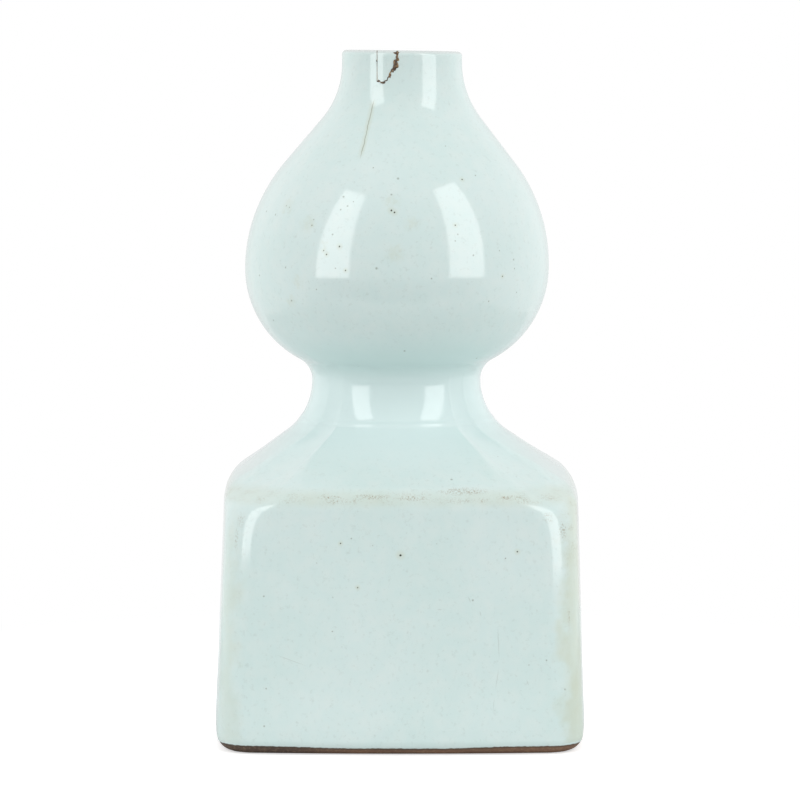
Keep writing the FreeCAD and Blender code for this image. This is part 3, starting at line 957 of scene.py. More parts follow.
@dataclass(frozen=True)
class ThrownBulb(Part):
    """The two halves of the bulb and the ring of the waist under them."""

    def closed(self, name: str, outer: list[tuple[Union[Arc, Line], int]],
               inner: list[tuple[Union[Arc, Line], int]]) -> bpy.types.Mesh:
        """Closes an outer and an inner line with the seams between them.

        Args:
            name: name of the mesh.
            outer: lines of the outer skin and their rows, from the top down.
            inner: lines of the inner skin and their rows, from the bottom up.

        Returns:
            The mesh of the piece.
        """
        ends = [tuple(float(item) for item in line.at(share)) for line, share in
                ((outer[0][0], 0.0), (outer[-1][0], 1.0), (inner[0][0], 0.0), (inner[-1][0], 1.0))]
        lines = outer + [(Line(ends[1], ends[2]), 1)] + inner + [(Line(ends[3], ends[0]), 1)]
        plan = self.form.round_plan
        skin = Skin.wrap([Stretch(line, plan, rows) for line, rows in lines], Columns())
        return skin.moved(self.hand).mesh(name)

    def upper(self) -> bpy.types.Mesh:
        """Upper half: the end of the neck's flare, a straight slope and the bulb's upper round.

        Returns:
            The mesh of the piece.
        """
        form = self.form
        (flare_centre, round_centre), (flare, full) = form.neck_centres, form.neck_radii
        angle, seam, wall = form.neck_angle, form.neck_angle * form.neck_seam, form.thrown_wall
        drop = flare * math.sin(seam)
        outer_flare = form.hollow(flare_centre, flare, seam, angle)
        outer_round = Arc(round_centre, full, angle, 0.0)
        inner_round = Arc(round_centre, full - wall, 0.0, angle)
        inner_flare = form.hollow(flare_centre, flare + wall, angle, math.asin(drop / (flare + wall)))
        return self.closed("bulb_upper_half", [
            (outer_flare, 4), (Line(ends_of(outer_flare)[1], ends_of(outer_round)[0]), 9), (outer_round, 30)], [
            (inner_round, 14), (Line(ends_of(inner_round)[1], ends_of(inner_flare)[0]), 4), (inner_flare, 3)])

    def lower(self) -> bpy.types.Mesh:
        """Lower half: from the widest level in to the crease.

        Returns:
            The mesh of the piece.
        """
        form = self.form
        centre = (form.bulb_radius - form.bulb_lower_round, form.bulb_height)
        crease = (form.waist_radius + form.crease_round, form.waist_height)
        turn, wall = form.crease_turn, form.thrown_wall
        rise = form.crease_round * math.sin(turn)
        outer = Arc(centre, form.bulb_lower_round, 0.0, -turn)
        inner_round = form.crease_round + wall
        inner_crease = Arc(crease, inner_round, math.pi - math.asin(rise / inner_round), math.pi - turn)
        inner = Arc(centre, form.bulb_lower_round - wall, -turn, 0.0)
        return self.closed("bulb_lower_half", [(outer, 30)], [(inner_crease, 3), (inner, 14)])

    def waist(self) -> bpy.types.Mesh:
        """Waist ring: the crease and the hollow of the waist, down to the seam with its luting ridge.

        Returns:
            The mesh of the piece.
        """
        form = self.form
        crease = (form.waist_radius + form.crease_round, form.waist_height)
        centre, flare, wall = form.waist_centres[0], form.waist_radii[0], form.thrown_wall
        rise = form.crease_round * math.sin(form.crease_turn)
        seam = form.dome_angle * form.waist_seam
        drop = flare * math.sin(seam)
        near = math.asin((form.waist_height - self.hand.lute_height - self.hand.lute_room[0]) / flare)
        inner_round = form.crease_round + wall
        outer = [(Arc(crease, form.crease_round, math.pi - form.crease_turn, math.pi), 14),
                 (form.hollow(centre, flare, 0.0, near), 8), (form.hollow(centre, flare, near, seam), 14)]
        inner = [(form.hollow(centre, flare + wall, math.asin(drop / (flare + wall)), 0.0), 6),
                 (Arc(crease, inner_round, math.pi, math.pi - math.asin(rise / inner_round)), 6)]
        return self.closed("waist_ring", outer, inner)

    def build(self, upper: bpy.types.Material, lower: bpy.types.Material) -> None:
        """Makes the three thrown pieces.

        Args:
            upper: finish of the upper half.
            lower: finish of the lower half and the waist.
        """
        self.hang("bulb_upper_half", self.upper(), "celadon_glaze", upper)
        self.hang("bulb_lower_half", self.lower(), "celadon_glaze", lower)
        self.hang("waist_ring", self.waist(), "celadon_glaze", lower)


def ends_of(line: Union[Arc, Line]) -> tuple[tuple[float, float], tuple[float, float]]:
    """Start and end of a line of the profile."""
    start, end = (tuple(float(item) for item in line.at(share)) for share in (0.0, 1.0))
    return start, end


@dataclass(frozen=True)
class PressedBody(Part):
    """The dome of the shoulder, the four wall slabs, the floor and the foot rim under them."""

    wall_rows: int = 30
    recess_round: float = 1.2
    # The rounded edge of the foot, divided most finely where the glaze ends: heights, and the rows down to each.
    foot_rows: tuple[tuple[float, int], ...] = ((2.8, 16), (1.0, 5), (0.0, 4))

    def dome_lines(self, depth: float) -> list[tuple[Union[Arc, Line], int]]:
        """Lines of the dome at a depth under its outer skin, from the seam down to the rim.

        Args:
            depth: how far under the outer skin, in millimetres.

        Returns:
            Each line with its number of rows.
        """
        form = self.form
        (flare_centre, ridge_centre), (flare, ridge) = form.waist_centres, form.waist_radii
        angle = form.dome_angle
        drop = flare * math.sin(angle * form.waist_seam)
        first = math.asin(drop / (flare + depth))
        near = math.asin((form.waist_height - self.hand.lute_height + self.hand.lute_room[1]) / (flare + depth))
        rows = (1, 3, 7, 8) if depth else (8, 5, 14, 18)
        upper = form.hollow(flare_centre, flare + depth, first, near)
        lower = form.hollow(flare_centre, flare + depth, near, angle)
        full = Arc(ridge_centre, ridge - depth, angle, 0.0)
        return list(zip((upper, lower, Line(ends_of(lower)[1], ends_of(full)[0]), full), rows))

    def dome_plan(self, depth: float) -> Plan:
        """Plan of the dome at a depth: from a circle at the seam to the walls' square at the rim.

        Args:
            depth: how far under the outer skin, in millimetres.

        Returns:
            The plan.
        """
        form = self.form
        lines = self.dome_lines(depth)
        top, rim = ends_of(lines[0][0])[0][0], ends_of(lines[-1][0])[1][0]
        return Plan((top, top, form.round_turn), (rim, form.body_corner - depth, form.side_turn))

    def dome(self) -> bpy.types.Mesh:
        """The dome: its outer skin down, its rim, its inner skin up and its seam.

        Returns:
            The mesh of the piece.
        """
        depth = self.form.shoulder_wall
        plan, inner_plan = self.dome_plan(0.0), self.dome_plan(depth)
        stretches = [Stretch(line, plan, rows) for line, rows in self.dome_lines(0.0)]
        lower, upper = ends_of(stretches[-1].line)[1], ends_of(stretches[0].line)[0]
        inner = [(self.backward(line), rows) for line, rows in reversed(self.dome_lines(depth))]
        inner_lower, inner_upper = ends_of(inner[0][0])[0], ends_of(inner[-1][0])[1]
        rim_plan = Plan((inner_lower[0], self.form.body_corner - depth, self.form.side_turn),
                        (lower[0], self.form.body_corner, self.form.side_turn))
        stretches.append(Stretch(Line(lower, inner_lower), rim_plan))
        stretches += [Stretch(line, inner_plan, rows) for line, rows in inner]
        stretches.append(Stretch(Line(inner_upper, upper), self.form.round_plan))
        return Skin.wrap(stretches, Columns()).moved(self.hand).mesh("shoulder_dome")

    @staticmethod
    def backward(line: Union[Arc, Line]) -> Union[Arc, Line]:
        """The same line from its end to its start.

        Args:
            line: the line.

        Returns:
            A new line of the same kind.
        """
        if isinstance(line, Arc):
            return Arc(line.centre, line.radius, line.end, line.start)
        return Line(line.end, line.start)

    def wall(self, name: str, quarter: int) -> bpy.types.Mesh:
        """One wall slab, mitred at the middle of both corners.

        Args:
            name: name of the mesh.
            quarter: 0 for the front, then the right, the back and the left.

        Returns:
            The mesh of the piece.
        """
        form = self.form
        depth = form.slab_wall
        top, base = (form.body_top_half, form.body_top), (form.body_half, form.wall_base)
        outer = Line(top, base)
        inner = Line((base[0] - depth, base[1]), (top[0] - depth, top[1]))
        corner, turn = form.body_corner, form.side_turn
        across = Plan((base[0] - depth, corner - depth, turn), (base[0], corner, turn))
        over = Plan((top[0] - depth, corner - depth, turn), (top[0], corner, turn))
        stretches = [Stretch(outer, form.wall_plan(), self.wall_rows), Stretch(Line(base, inner.start), across),
                     Stretch(inner, form.wall_plan(depth), self.wall_rows), Stretch(Line(inner.end, top), over)]
        return Skin.wrap(stretches, Columns(quarters=(quarter,))).moved(self.hand).mesh(name)

    def foot_arc(self, start: float, end: float) -> Arc:
        """The rounded lower edge between two heights.

        Args:
            start: the upper height.
            end: the lower height.

        Returns:
            The arc.
        """
        turn = self.form.foot_round
        first, last = (math.asin(max(height - turn, -turn) / turn) for height in (start, end))
        return Arc((self.form.body_half - turn, turn), turn, first, last)

    def floor_slab(self) -> bpy.types.Mesh:
        """The floor of the body, with the top of the rounded edge.

        Returns:
            The mesh of the piece.
        """
        form = self.form
        edge = Line((form.body_half, form.wall_base), (form.body_half, form.foot_round))
        plan = form.inset_plan(form.body_half, form.body_corner)
        stretches = [Stretch(edge, plan, 4), Stretch(self.foot_arc(form.foot_round, form.foot_height), plan, 4)]
        return Skin.wrap(stretches, Columns(), lids=True).moved(self.hand).mesh("base_slab")

    def foot(self) -> bpy.types.Mesh:
        """The foot rim: the rounded edge, the flat that it stands on and the wall of the recess.

        Returns:
            The mesh of the piece.
        """
        form = self.form
        outer = form.inset_plan(form.body_half, form.body_corner)
        inner_half = form.body_half - form.foot_width
        recess = form.inset_plan(inner_half, form.recess_corner)
        soft = self.recess_round
        edge = Arc((inner_half + soft, soft), soft, -math.pi / 2, -math.pi)
        start, stretches = form.foot_height, []
        for end, rows in self.foot_rows:
            stretches.append(Stretch(self.foot_arc(start, end), outer, rows))
            start = end
        stand, inside = ends_of(stretches[-1].line)[1], ends_of(edge)[0]
        corners = (form.body_corner - form.foot_round, form.recess_corner + soft)
        flat = Plan((inside[0], corners[1], form.side_turn), (stand[0], corners[0], form.side_turn))
        stretches += [Stretch(Line(stand, inside), flat, 6), Stretch(edge, recess, 5)]
        top = (ends_of(stretches[0].line)[0][0], form.foot_height)
        wall = Line(ends_of(edge)[1], (inner_half, form.foot_height))
        drop = form.body_corner - (form.body_half - top[0])
        cover = Plan((inner_half, form.recess_corner, form.side_turn), (top[0], drop, form.side_turn))
        stretches += [Stretch(wall, recess, 4), Stretch(Line(wall.end, top), cover)]
        return Skin.wrap(stretches, Columns()).moved(self.hand).mesh("foot_rim")

    def build(self, dome: bpy.types.Material, walls: Sequence[bpy.types.Material],
              foot: bpy.types.Material) -> None:
        """Makes the pressed pieces.

        Args:
            dome: finish of the dome.
            walls: finishes of the front, right, back and left wall. The floor has the back's.
            foot: finish of the foot rim.
        """
        self.hang("shoulder_dome", self.dome(), "celadon_glaze", dome)
        for quarter, name in enumerate(("wall_front", "wall_right", "wall_back", "wall_left")):
            self.hang(name, self.wall(name, quarter), "celadon_glaze", walls[quarter])
        self.hang("base_slab", self.floor_slab(), "celadon_glaze", walls[2])
        self.hang("foot_rim", self.foot(), "dressed_foot", foot)


# Materials


Value = Union[float, Sequence[float], bpy.types.Node, bpy.types.NodeSocket]


def linear(code: str) -> tuple[float, float, float, float]:
    """Turns a hex sRGB colour into a linear one.

    Args:
        code: the colour, as #rrggbb.

    Returns:
        Red, green, blue and full alpha.
    """
    parts = [int(code[start:start + 2], 16) / 255 for start in (1, 3, 5)]
    red, green, blue = (part / 12.92 if part <= 0.04045 else ((part + 0.055) / 1.055) ** 2.4 for part in parts)
    return red, green, blue, 1.0


def add(tree: bpy.types.NodeTree, kind: str, inputs: Union[dict[Any, Value], None] = None, **settings: Any) -> Any:
    """Adds a node with its settings and links.

    Args:
        tree: node tree that it goes into.
        kind: type of the node, without the ShaderNode in front.
        inputs: what goes into each input, by its name or its place: a value, a socket, or a node, which gives its
            first output in use.
        settings: properties of the node.

    Returns:
        The node.
    """
    node = tree.nodes.new("ShaderNode" + kind)
    for key, value in settings.items():
        setattr(node, key, value)
    for key, value in (inputs or {}).items():
        if isinstance(value, bpy.types.Node):
            value = next(socket for socket in value.outputs if socket.enabled)
        if isinstance(value, bpy.types.NodeSocket):
            tree.links.new(value, node.inputs[key])
        else:
            node.inputs[key].default_value = value
    return node


@dataclass(frozen=True)
class Bench:
    """A material that is being made: its empty node tree and where on the vase a point is, in millimetres."""

    material: bpy.types.Material
    tree: bpy.types.NodeTree
    spot: Any
    across: Any
    depth: Any
    height: Any

    @classmethod
    def clear(cls, name: str) -> "Bench":
        """Starts a new material of that name.

        Args:
            name: name of the material.

        Returns:
            The bench, with nodes that give the place on the vase.
        """
        material = bpy.data.materials.new(name)
        material.use_nodes = True
        tree = material.node_tree
        tree.nodes.clear()
        metres = add(tree, "TexCoord").outputs["Object"]
        spot = add(tree, "VectorMath", {0: metres, 1: (1 / MM,) * 3}, operation="MULTIPLY")
        across, depth, height = add(tree, "SeparateXYZ", {0: spot}).outputs
        return cls(material, tree, spot, across, depth, height)


# Interpolation of a mask that goes from none to full with no edge to be seen. Without it, a mask is even.
SMOOTH = "SMOOTHSTEP"

Spots = tuple[tuple[float, float, float, float], ...]


@dataclass(frozen=True)
class Marks:
    """Where one piece is marked: spots are (x, y, z, radius), scratches (x, z, x, z, half-width) on the front.

    Flecks are iron, blotches are faint olive stains, grime is dirt that lies along the ridge, and rubbed is dirt
    that was rubbed in down the corners.
    """

    flecks: Spots = ()
    pinholes: Spots = ()
    blotches: Spots = ()
    grime: Spots = ()
    rubbed: Spots = ()
    scratches: tuple[tuple[float, float, float, float, float], ...] = ()
    hairline: bool = False
    # How high a spot of grime or of rubbed dirt is, as a share of how wide it is.
    grime_flat: float = 0.15
    rubbed_flat: float = 1.8
    # Scratches mark the front alone: they reach this far to both sides of this depth.
    scratch_depth: float = -76.0
    scratch_reach: float = 14.0

    @staticmethod
    def nearest(bench: Bench, spot: Any, spots: Spots, flat: float = 1.0) -> Any:
        """Distance from the nearest of some spots.

        Args:
            bench: material that is being made.
            spot: place on the surface, in millimetres.
            spots: the spots.
            flat: how high they are as a share of how wide they are.

        Returns:
            The node that gives the distance as a share of the spot's radius, or 100 where there is no spot.
        """
        nearest: Any = add(bench.tree, "Math", {0: 100.0, 1: 0.0})
        for x, y, z, radius in spots:
            frame = add(bench.tree, "Mapping", {
                "Vector": spot, "Location": (x, y, z), "Scale": (radius, radius, radius * flat)},
                        vector_type="TEXTURE")
            reach = add(bench.tree, "VectorMath", {0: frame}, operation="LENGTH")
            nearest = add(bench.tree, "Math", {0: nearest, 1: reach}, operation="MINIMUM")
        return nearest

    def scratch(self, bench: Bench, spot: Any, line: tuple[float, float, float, float, float]) -> Any:
        """Distance from a scratch that tapers to both ends.

        Args:
            bench: material that is being made.
            spot: place on the surface, in millimetres.
            line: its two ends (x, z, x, z) and half its width.

        Returns:
            The node that gives the distance as a share of its half sizes.
        """
        left, low, right, high, half = line
        long = math.hypot(right - left, high - low) / 2
        frame = add(bench.tree, "Mapping", {
            "Vector": spot, "Location": ((left + right) / 2, self.scratch_depth, (low + high) / 2),
            "Rotation": (0.0, math.atan2(right - left, high - low), 0.0),
            "Scale": (half, self.scratch_reach, long)}, vector_type="TEXTURE")
        return add(bench.tree, "VectorMath", {0: frame}, operation="LENGTH")


@dataclass(frozen=True)
class CeladonGlaze:
    """Celadon: a thick clear glaze, tinted by a little iron, over white porcelain, fired to a hard gloss.

    To the eye it is deep and watery: blue-green where it pooled, paler where it ran thin, with fired-in pinholes
    and iron flecks, and a faint olive stain where its edges have worn.
    """

    body: str = "#cadad8"
    deep: str = "#b4cfca"
    thin: str = "#dedfda"
    # Painted light: a paler tone over the waist, where it lies in shade under the bulb.
    waist_light: str = "#cfe1e0"
    # Greyer where the glaze runs thin on the lip, and darker as painted shade.
    lip: str = "#c6ccca"
    olive: str = "#bfc8b8"
    dirt: str = "#8a7858"
    hole: str = "#7d8478"
    iron: str = "#36352c"
    crack: str = "#8d9080"
    roughness: float = 0.09
    worn_roughness: float = 0.3
    index: float = 1.55
    # Sizes in millimetres: clouds of thicker glaze, the mottle of its bubbles and the dimples of its skin.
    cloud_size: float = 55.0
    mottle_size: float = 6.0
    peel_size: float = 9.0
    peel_height: float = 0.011
    wave_size: float = 38.0
    wave_height: float = 0.05
    pit_depth: float = 0.04
    # Bubbles under the skin are far too fine to see one by one. They show as a faint grain of this size.
    bubble_size: float = 2.0
    # Sizes of the wear: patches of duller skin, the ragged edge of the stain and its patches, and the clusters
    # that grains of dirt lie in. The grains are about half a millimetre and show as noise of this size.
    dull_size: float = 14.0
    stain_size: float = 11.0
    patch_size: float = 17.0
    cluster_size: float = 9.0
    grain_size: float = 0.8
    # Small marks are bent out of true by noise of the first size, by the second at most. Blotches are bent more.
    warp_size: float = 2.5
    mark_bend: float = 0.5
    blotch_bend: float = 7.0
    blotch_grain: float = 1.6
    # Finger rings of the potter, a little over a finger's step apart.
    ring_pitch: float = 7.5
    ring_height: float = 0.004
    ring_zone: tuple[float, float] = (150.0, 190.0)
    # Pinholes are really 0.1 to 0.3 mm across. They are drawn wider, as far as they need to show.
    hole_spread: float = 12.0
    hole_radius: float = 0.34
    # The hairline: half its width, its upper and lower end, and where it is across at both.
    crack_half: float = 0.3
    crack_ends: tuple[float, float] = (297.0, 270.0)
    crack_across: tuple[float, float] = (-12.0, -18.4)
    crack_wobble: float = 7.0
    # The stain down the corners: where it sets in from the middle out to the sides, where it does so out to the
    # front and back at the left and the right, over how many millimetres each, and its share at the left and
    # the right. Its greater share and reach at the right is painted shade.
    stain_sides: float = 69.0
    stain_and_shade_depths: tuple[float, float] = (62.0, 44.0)
    stain_fades: tuple[float, float] = (9.0, 20.0)
    stain_and_shade_shares: tuple[float, float] = (0.5, 1.0)
    stain_wander: tuple[float, float] = (-4.5, 2.5)
    # Heights: where the painted light over the waist sets in over the shoulder and ends under the bulb, the crease
    # with its pooled glaze and painted shade, the band on the lip, and the ridge with how far its wear reaches to
    # both sides.
    waist_light_from: tuple[float, float] = (122.0, 148.0)
    waist_light_to: tuple[float, float] = (197.0, 174.0)
    crease_pool_shade_height: float = 177.0
    crease_pool_shade_reach: float = 14.0
    thin_shaded_lip_band: tuple[float, float] = (317.9, 319.3)
    ridge_height: float = 117.2
    ridge_reach: float = 5.5

    def build(self, name: str, marks: Marks = Marks()) -> bpy.types.Material:
        """Makes the glaze of one piece, with that piece's own marks.

        Args:
            name: name of the material.
            marks: where the piece is marked.

        Returns:
            The material.
        """
        bench = Bench.clear(name)
        tree = bench.tree
        tone, dirty = self.worn(bench, self.pooled(bench), marks)
        tone, pits = self.pitted(bench, tone, marks)
        if marks.hairline:
            tone = self.cracked(bench, tone)
        rough = add(tree, "TexNoise", {"Vector": bench.spot, "Scale": 1 / self.dull_size, "Detail": 4.0})
        rough = add(tree, "MapRange", {
            0: rough, 1: 0.3, 2: 0.7, 3: self.roughness - 0.02, 4: self.roughness + 0.03})
        rough = add(tree, "MapRange", {0: dirty, 3: rough, 4: self.worn_roughness})
        shader = add(tree, "BsdfPrincipled", {
            "Base Color": tone, "Roughness": rough, "IOR": self.index, "Normal": self.relief(bench, pits)})
        add(tree, "OutputMaterial", {0: shader})
        return bench.material

    def pooled(self, bench: Bench) -> Any:
        """Tone of the fired glaze: deeper where it pooled in the crease, with painted shade there too, a painted
        lighter band over the waist, and a greyer band on the lip, thin glaze darkened as painted shade.

        Args:
            bench: material that is being made.

        Returns:
            The tone.
        """
        tree = bench.tree
        cloud = add(tree, "TexNoise", {"Vector": bench.spot, "Scale": 1 / self.cloud_size, "Detail": 3.0})
        cloud = add(tree, "MapRange", {0: cloud, 1: 0.35, 2: 0.7, 3: 0.0, 4: 0.22}, interpolation_type=SMOOTH)
        tone = add(tree, "Mix", {0: cloud, 6: linear(self.body), 7: linear(self.deep)}, data_type="RGBA")
        mottle = add(tree, "TexNoise", {"Vector": bench.spot, "Scale": 1 / self.mottle_size, "Detail": 5.0})
        mottle = add(tree, "MapRange", {0: mottle, 1: 0.4, 2: 0.7, 3: 0.0, 4: 0.16})
        tone = add(tree, "Mix", {0: mottle, 6: tone, 7: linear(self.thin)}, data_type="RGBA")
        bubble = add(tree, "TexNoise", {
            "Vector": bench.spot, "Scale": 1 / self.bubble_size, "Detail": 4.0, "Roughness": 0.7})
        bubble = add(tree, "MapRange", {0: bubble, 1: 0.56, 2: 0.74, 3: 0.0, 4: 0.17})
        tone = add(tree, "Mix", {0: bubble, 6: tone, 7: linear(self.hole)}, data_type="RGBA")
        # Painted light: a paler band round the waist and under the bulb lifts the shade that falls there.
        waist_lift = add(tree, "MapRange", {0: bench.height, 1: self.waist_light_from[0], 2: self.waist_light_from[1]},
                   interpolation_type=SMOOTH)
        high = add(tree, "MapRange", {0: bench.height, 1: self.waist_light_to[0], 2: self.waist_light_to[1]},
                   interpolation_type=SMOOTH)
        waist_lift = add(tree, "Math", {0: waist_lift, 1: high}, operation="MULTIPLY")
        tone = add(tree, "Mix", {0: waist_lift, 6: tone, 7: linear(self.waist_light)}, data_type="RGBA")
        # Deeper in the crease: pooled glaze, and partly painted shade.
        crease = add(tree, "Math", {0: bench.height, 1: self.crease_pool_shade_height}, operation="SUBTRACT")
        crease = add(tree, "Math", {0: crease}, operation="ABSOLUTE")
        crease = add(tree, "MapRange", {0: crease, 1: self.crease_pool_shade_reach, 2: 1.0, 3: 0.0, 4: 0.3},
                     interpolation_type=SMOOTH)
        tone = add(tree, "Mix", {0: crease, 6: tone, 7: linear(self.deep)}, data_type="RGBA")
        # The rim dips by under a millimetre to the right, and the thin band on the lip with it. The band is
        # darkened as painted shade.
        lip = add(tree, "Math", {0: bench.across, 1: 0.016, 2: bench.height}, operation="MULTIPLY_ADD")
        lip = add(tree, "MapRange", {0: lip, 1: self.thin_shaded_lip_band[0], 2: self.thin_shaded_lip_band[1], 3: 0.0, 4: 0.8},
                  interpolation_type=SMOOTH)
        return add(tree, "Mix", {0: lip, 6: tone, 7: linear(self.lip)}, data_type="RGBA")

    def worn(self, bench: Bench, tone: Any, marks: Marks) -> tuple[Any, Any]:
        """Olive stain and rubbed-in dirt along the ridge and down the corners of the body, with painted shade on
        the right-hand corners.

        Args:
            bench: material that is being made.
            tone: colour so far.
            marks: the piece's marks.

        Returns:
            The stained colour, and how dirty each place is.
        """
        tree = bench.tree
        wander = add(tree, "TexNoise", {"Vector": bench.spot, "Scale": 1 / self.stain_size, "Detail": 4.0})
        wander = add(tree, "MapRange", {
            0: wander, 1: 0.3, 2: 0.7, 3: self.stain_wander[0], 4: self.stain_wander[1]})
        # The right-hand corners are stained more and farther round: painted shade on that side.
        corner, near = (
            add(tree, "MapRange", {0: bench.across, 1: -80.0, 2: 80.0, 3: ends[0], 4: ends[1]})
            for ends in (self.stain_and_shade_shares, self.stain_and_shade_depths))
        out, round_it = self.stain_fades
        for way, start, wide in ((bench.across, self.stain_sides, out), (bench.depth, near, round_it)):
            side = add(tree, "Math", {0: way}, operation="ABSOLUTE")
            side = add(tree, "Math", {0: side, 1: start}, operation="SUBTRACT")
            side = add(tree, "Math", {0: side, 1: wander}, operation="ADD")
            side = add(tree, "MapRange", {0: side, 1: 0.0, 2: wide}, interpolation_type=SMOOTH)
            corner = add(tree, "Math", {0: corner, 1: side}, operation="MULTIPLY")
        ridge = add(tree, "Math", {0: bench.height, 1: self.ridge_height}, operation="SUBTRACT")
        ridge = add(tree, "Math", {0: ridge}, operation="ABSOLUTE")
        ridge = add(tree, "MapRange", {0: ridge, 1: self.ridge_reach, 2: 1.0}, interpolation_type=SMOOTH)
        under = add(tree, "MapRange", {0: bench.height, 1: 122.0, 2: 112.0}, interpolation_type=SMOOTH)
        corner = add(tree, "Math", {0: corner, 1: under}, operation="MULTIPLY")
        patch = add(tree, "TexNoise", {"Vector": bench.spot, "Scale": 1 / self.patch_size, "Detail": 3.0})
        patch = add(tree, "MapRange", {0: patch, 1: 0.3, 2: 0.7, 3: 0.45, 4: 0.95})
        edge = add(tree, "Math", {0: ridge, 1: 0.5}, operation="MULTIPLY")
        edge = add(tree, "Math", {0: edge, 1: corner}, operation="MAXIMUM")
        stain = add(tree, "Math", {0: edge, 1: patch}, operation="MULTIPLY")
        tone = add(tree, "Mix", {0: stain, 6: tone, 7: linear(self.olive)}, data_type="RGBA")
        # Grains of dirt, in clusters that are drawn out along the ridge.
        long = add(tree, "VectorMath", {0: bench.spot, 1: (1.0, 1.0, 2.6)}, operation="MULTIPLY")
        grain = add(tree, "TexNoise", {
            "Vector": bench.spot, "Scale": 1 / self.grain_size, "Detail": 4.0, "Roughness": 0.8})
        cluster = add(tree, "TexNoise", {"Vector": long, "Scale": 1 / self.cluster_size, "Detail": 3.0})
        cluster = add(tree, "MapRange", {0: cluster, 1: 0.46, 2: 0.72, 3: 0.0, 4: 0.8})
        high = add(tree, "MapRange", {0: bench.height, 1: 78.0, 2: 104.0}, interpolation_type=SMOOTH)
        high = add(tree, "Math", {0: high, 1: corner}, operation="MULTIPLY")
        crest = add(tree, "Math", {0: ridge, 1: 3.0}, operation="POWER")
        high = add(tree, "Math", {0: high, 1: crest}, operation="MAXIMUM")
        dirty = add(tree, "Math", {0: cluster, 1: high}, operation="MULTIPLY")
        for spots, flat in ((marks.grime, marks.grime_flat), (marks.rubbed, marks.rubbed_flat)):
            if not spots:
                continue
            gathered = marks.nearest(bench, bench.spot, spots, flat)
            gathered = add(tree, "MapRange", {0: gathered, 1: 1.1, 2: 0.35, 3: 0.0, 4: 1.0},
                           interpolation_type=SMOOTH)
            dirty = add(tree, "Math", {0: dirty, 1: gathered}, operation="MAXIMUM")
        grain = add(tree, "MapRange", {0: grain, 1: 0.48, 2: 0.66, 3: 0.0, 4: 0.95})
        dirty = add(tree, "Math", {0: dirty, 1: grain}, operation="MULTIPLY")
        return add(tree, "Mix", {0: dirty, 6: tone, 7: linear(self.dirt)}, data_type="RGBA"), dirty

    def pitted(self, bench: Bench, tone: Any, marks: Marks) -> tuple[Any, Any]:
        """Pinholes all over, and the piece's own pinholes, iron flecks, blotches and scratches.

        Args:
            bench: material that is being made.
            tone: colour so far.
            marks: the piece's marks.

        Returns:
            The marked colour, and how deep each place is pitted.
        """
        tree = bench.tree
        warp = add(tree, "TexNoise", {"Vector": bench.spot, "Scale": 1 / self.warp_size, "Detail": 2.0})
        warp = add(tree, "VectorMath", {0: warp.outputs["Color"], 1: (0.5,) * 3}, operation="SUBTRACT")
        if marks.blotches:
            broken = add(tree, "TexNoise", {"Vector": bench.spot, "Scale": 1 / self.blotch_grain, "Detail": 3.0})
            broken = add(tree, "MapRange", {0: broken, 1: 0.36, 2: 0.62, 3: 0.35, 4: 1.0})
            soft = add(tree, "VectorMath", {0: warp, 1: (self.blotch_bend,) * 3, 2: bench.spot},
                       operation="MULTIPLY_ADD")
            blotch = marks.nearest(bench, soft, marks.blotches)
            blotch = add(tree, "MapRange", {0: blotch, 1: 1.0, 2: 0.2, 3: 0.0, 4: 0.34}, interpolation_type=SMOOTH)
            blotch = add(tree, "Math", {0: blotch, 1: broken}, operation="MULTIPLY")
            tone = add(tree, "Mix", {0: blotch, 6: tone, 7: linear(self.olive)}, data_type="RGBA")
        bent = add(tree, "VectorMath", {0: warp, 1: (self.mark_bend,) * 3, 2: bench.spot},
                   operation="MULTIPLY_ADD")
        cells = add(tree, "TexVoronoi", {"Vector": bent, "Scale": 1 / self.hole_spread}).outputs
        hole = add(tree, "MapRange", {0: cells["Distance"], 1: 1.3 * self.hole_radius / self.hole_spread,
                                                2: 0.6 * self.hole_radius / self.hole_spread})
        kept = add(tree, "SeparateXYZ", {0: cells["Color"]})
        kept = add(tree, "MapRange", {0: kept, 1: 0.25, 2: 0.9, 3: 0.1, 4: 0.75})
        hole = add(tree, "Math", {0: hole, 1: kept}, operation="MULTIPLY")
        for line in marks.scratches:
            scratch = marks.scratch(bench, bent, line)
            scratch = add(tree, "MapRange", {0: scratch, 1: 1.0, 2: 0.3, 3: 0.0, 4: 0.4})
            hole = add(tree, "Math", {0: hole, 1: scratch}, operation="MAXIMUM")
        if marks.pinholes:
            placed = marks.nearest(bench, bent, marks.pinholes)
            placed = add(tree, "MapRange", {0: placed, 1: 1.25, 2: 0.4, 3: 0.0, 4: 0.62})
            hole = add(tree, "Math", {0: hole, 1: placed}, operation="MAXIMUM")
        tone = add(tree, "Mix", {0: hole, 6: tone, 7: linear(self.hole)}, data_type="RGBA")
        if marks.flecks:
            placed = marks.nearest(bench, bent, marks.flecks)
            halo = add(tree, "MapRange", {0: placed, 1: 6.0, 2: 1.0, 3: 0.0, 4: 0.45}, interpolation_type=SMOOTH)
            tone = add(tree, "Mix", {0: halo, 6: tone, 7: linear(self.olive)}, data_type="RGBA")
            core = add(tree, "MapRange", {0: placed, 1: 1.3, 2: 0.6})
            tone = add(tree, "Mix", {0: core, 6: tone, 7: linear(self.iron)}, data_type="RGBA")
            hole = add(tree, "Math", {0: hole, 1: core}, operation="MAXIMUM")
        return tone, hole

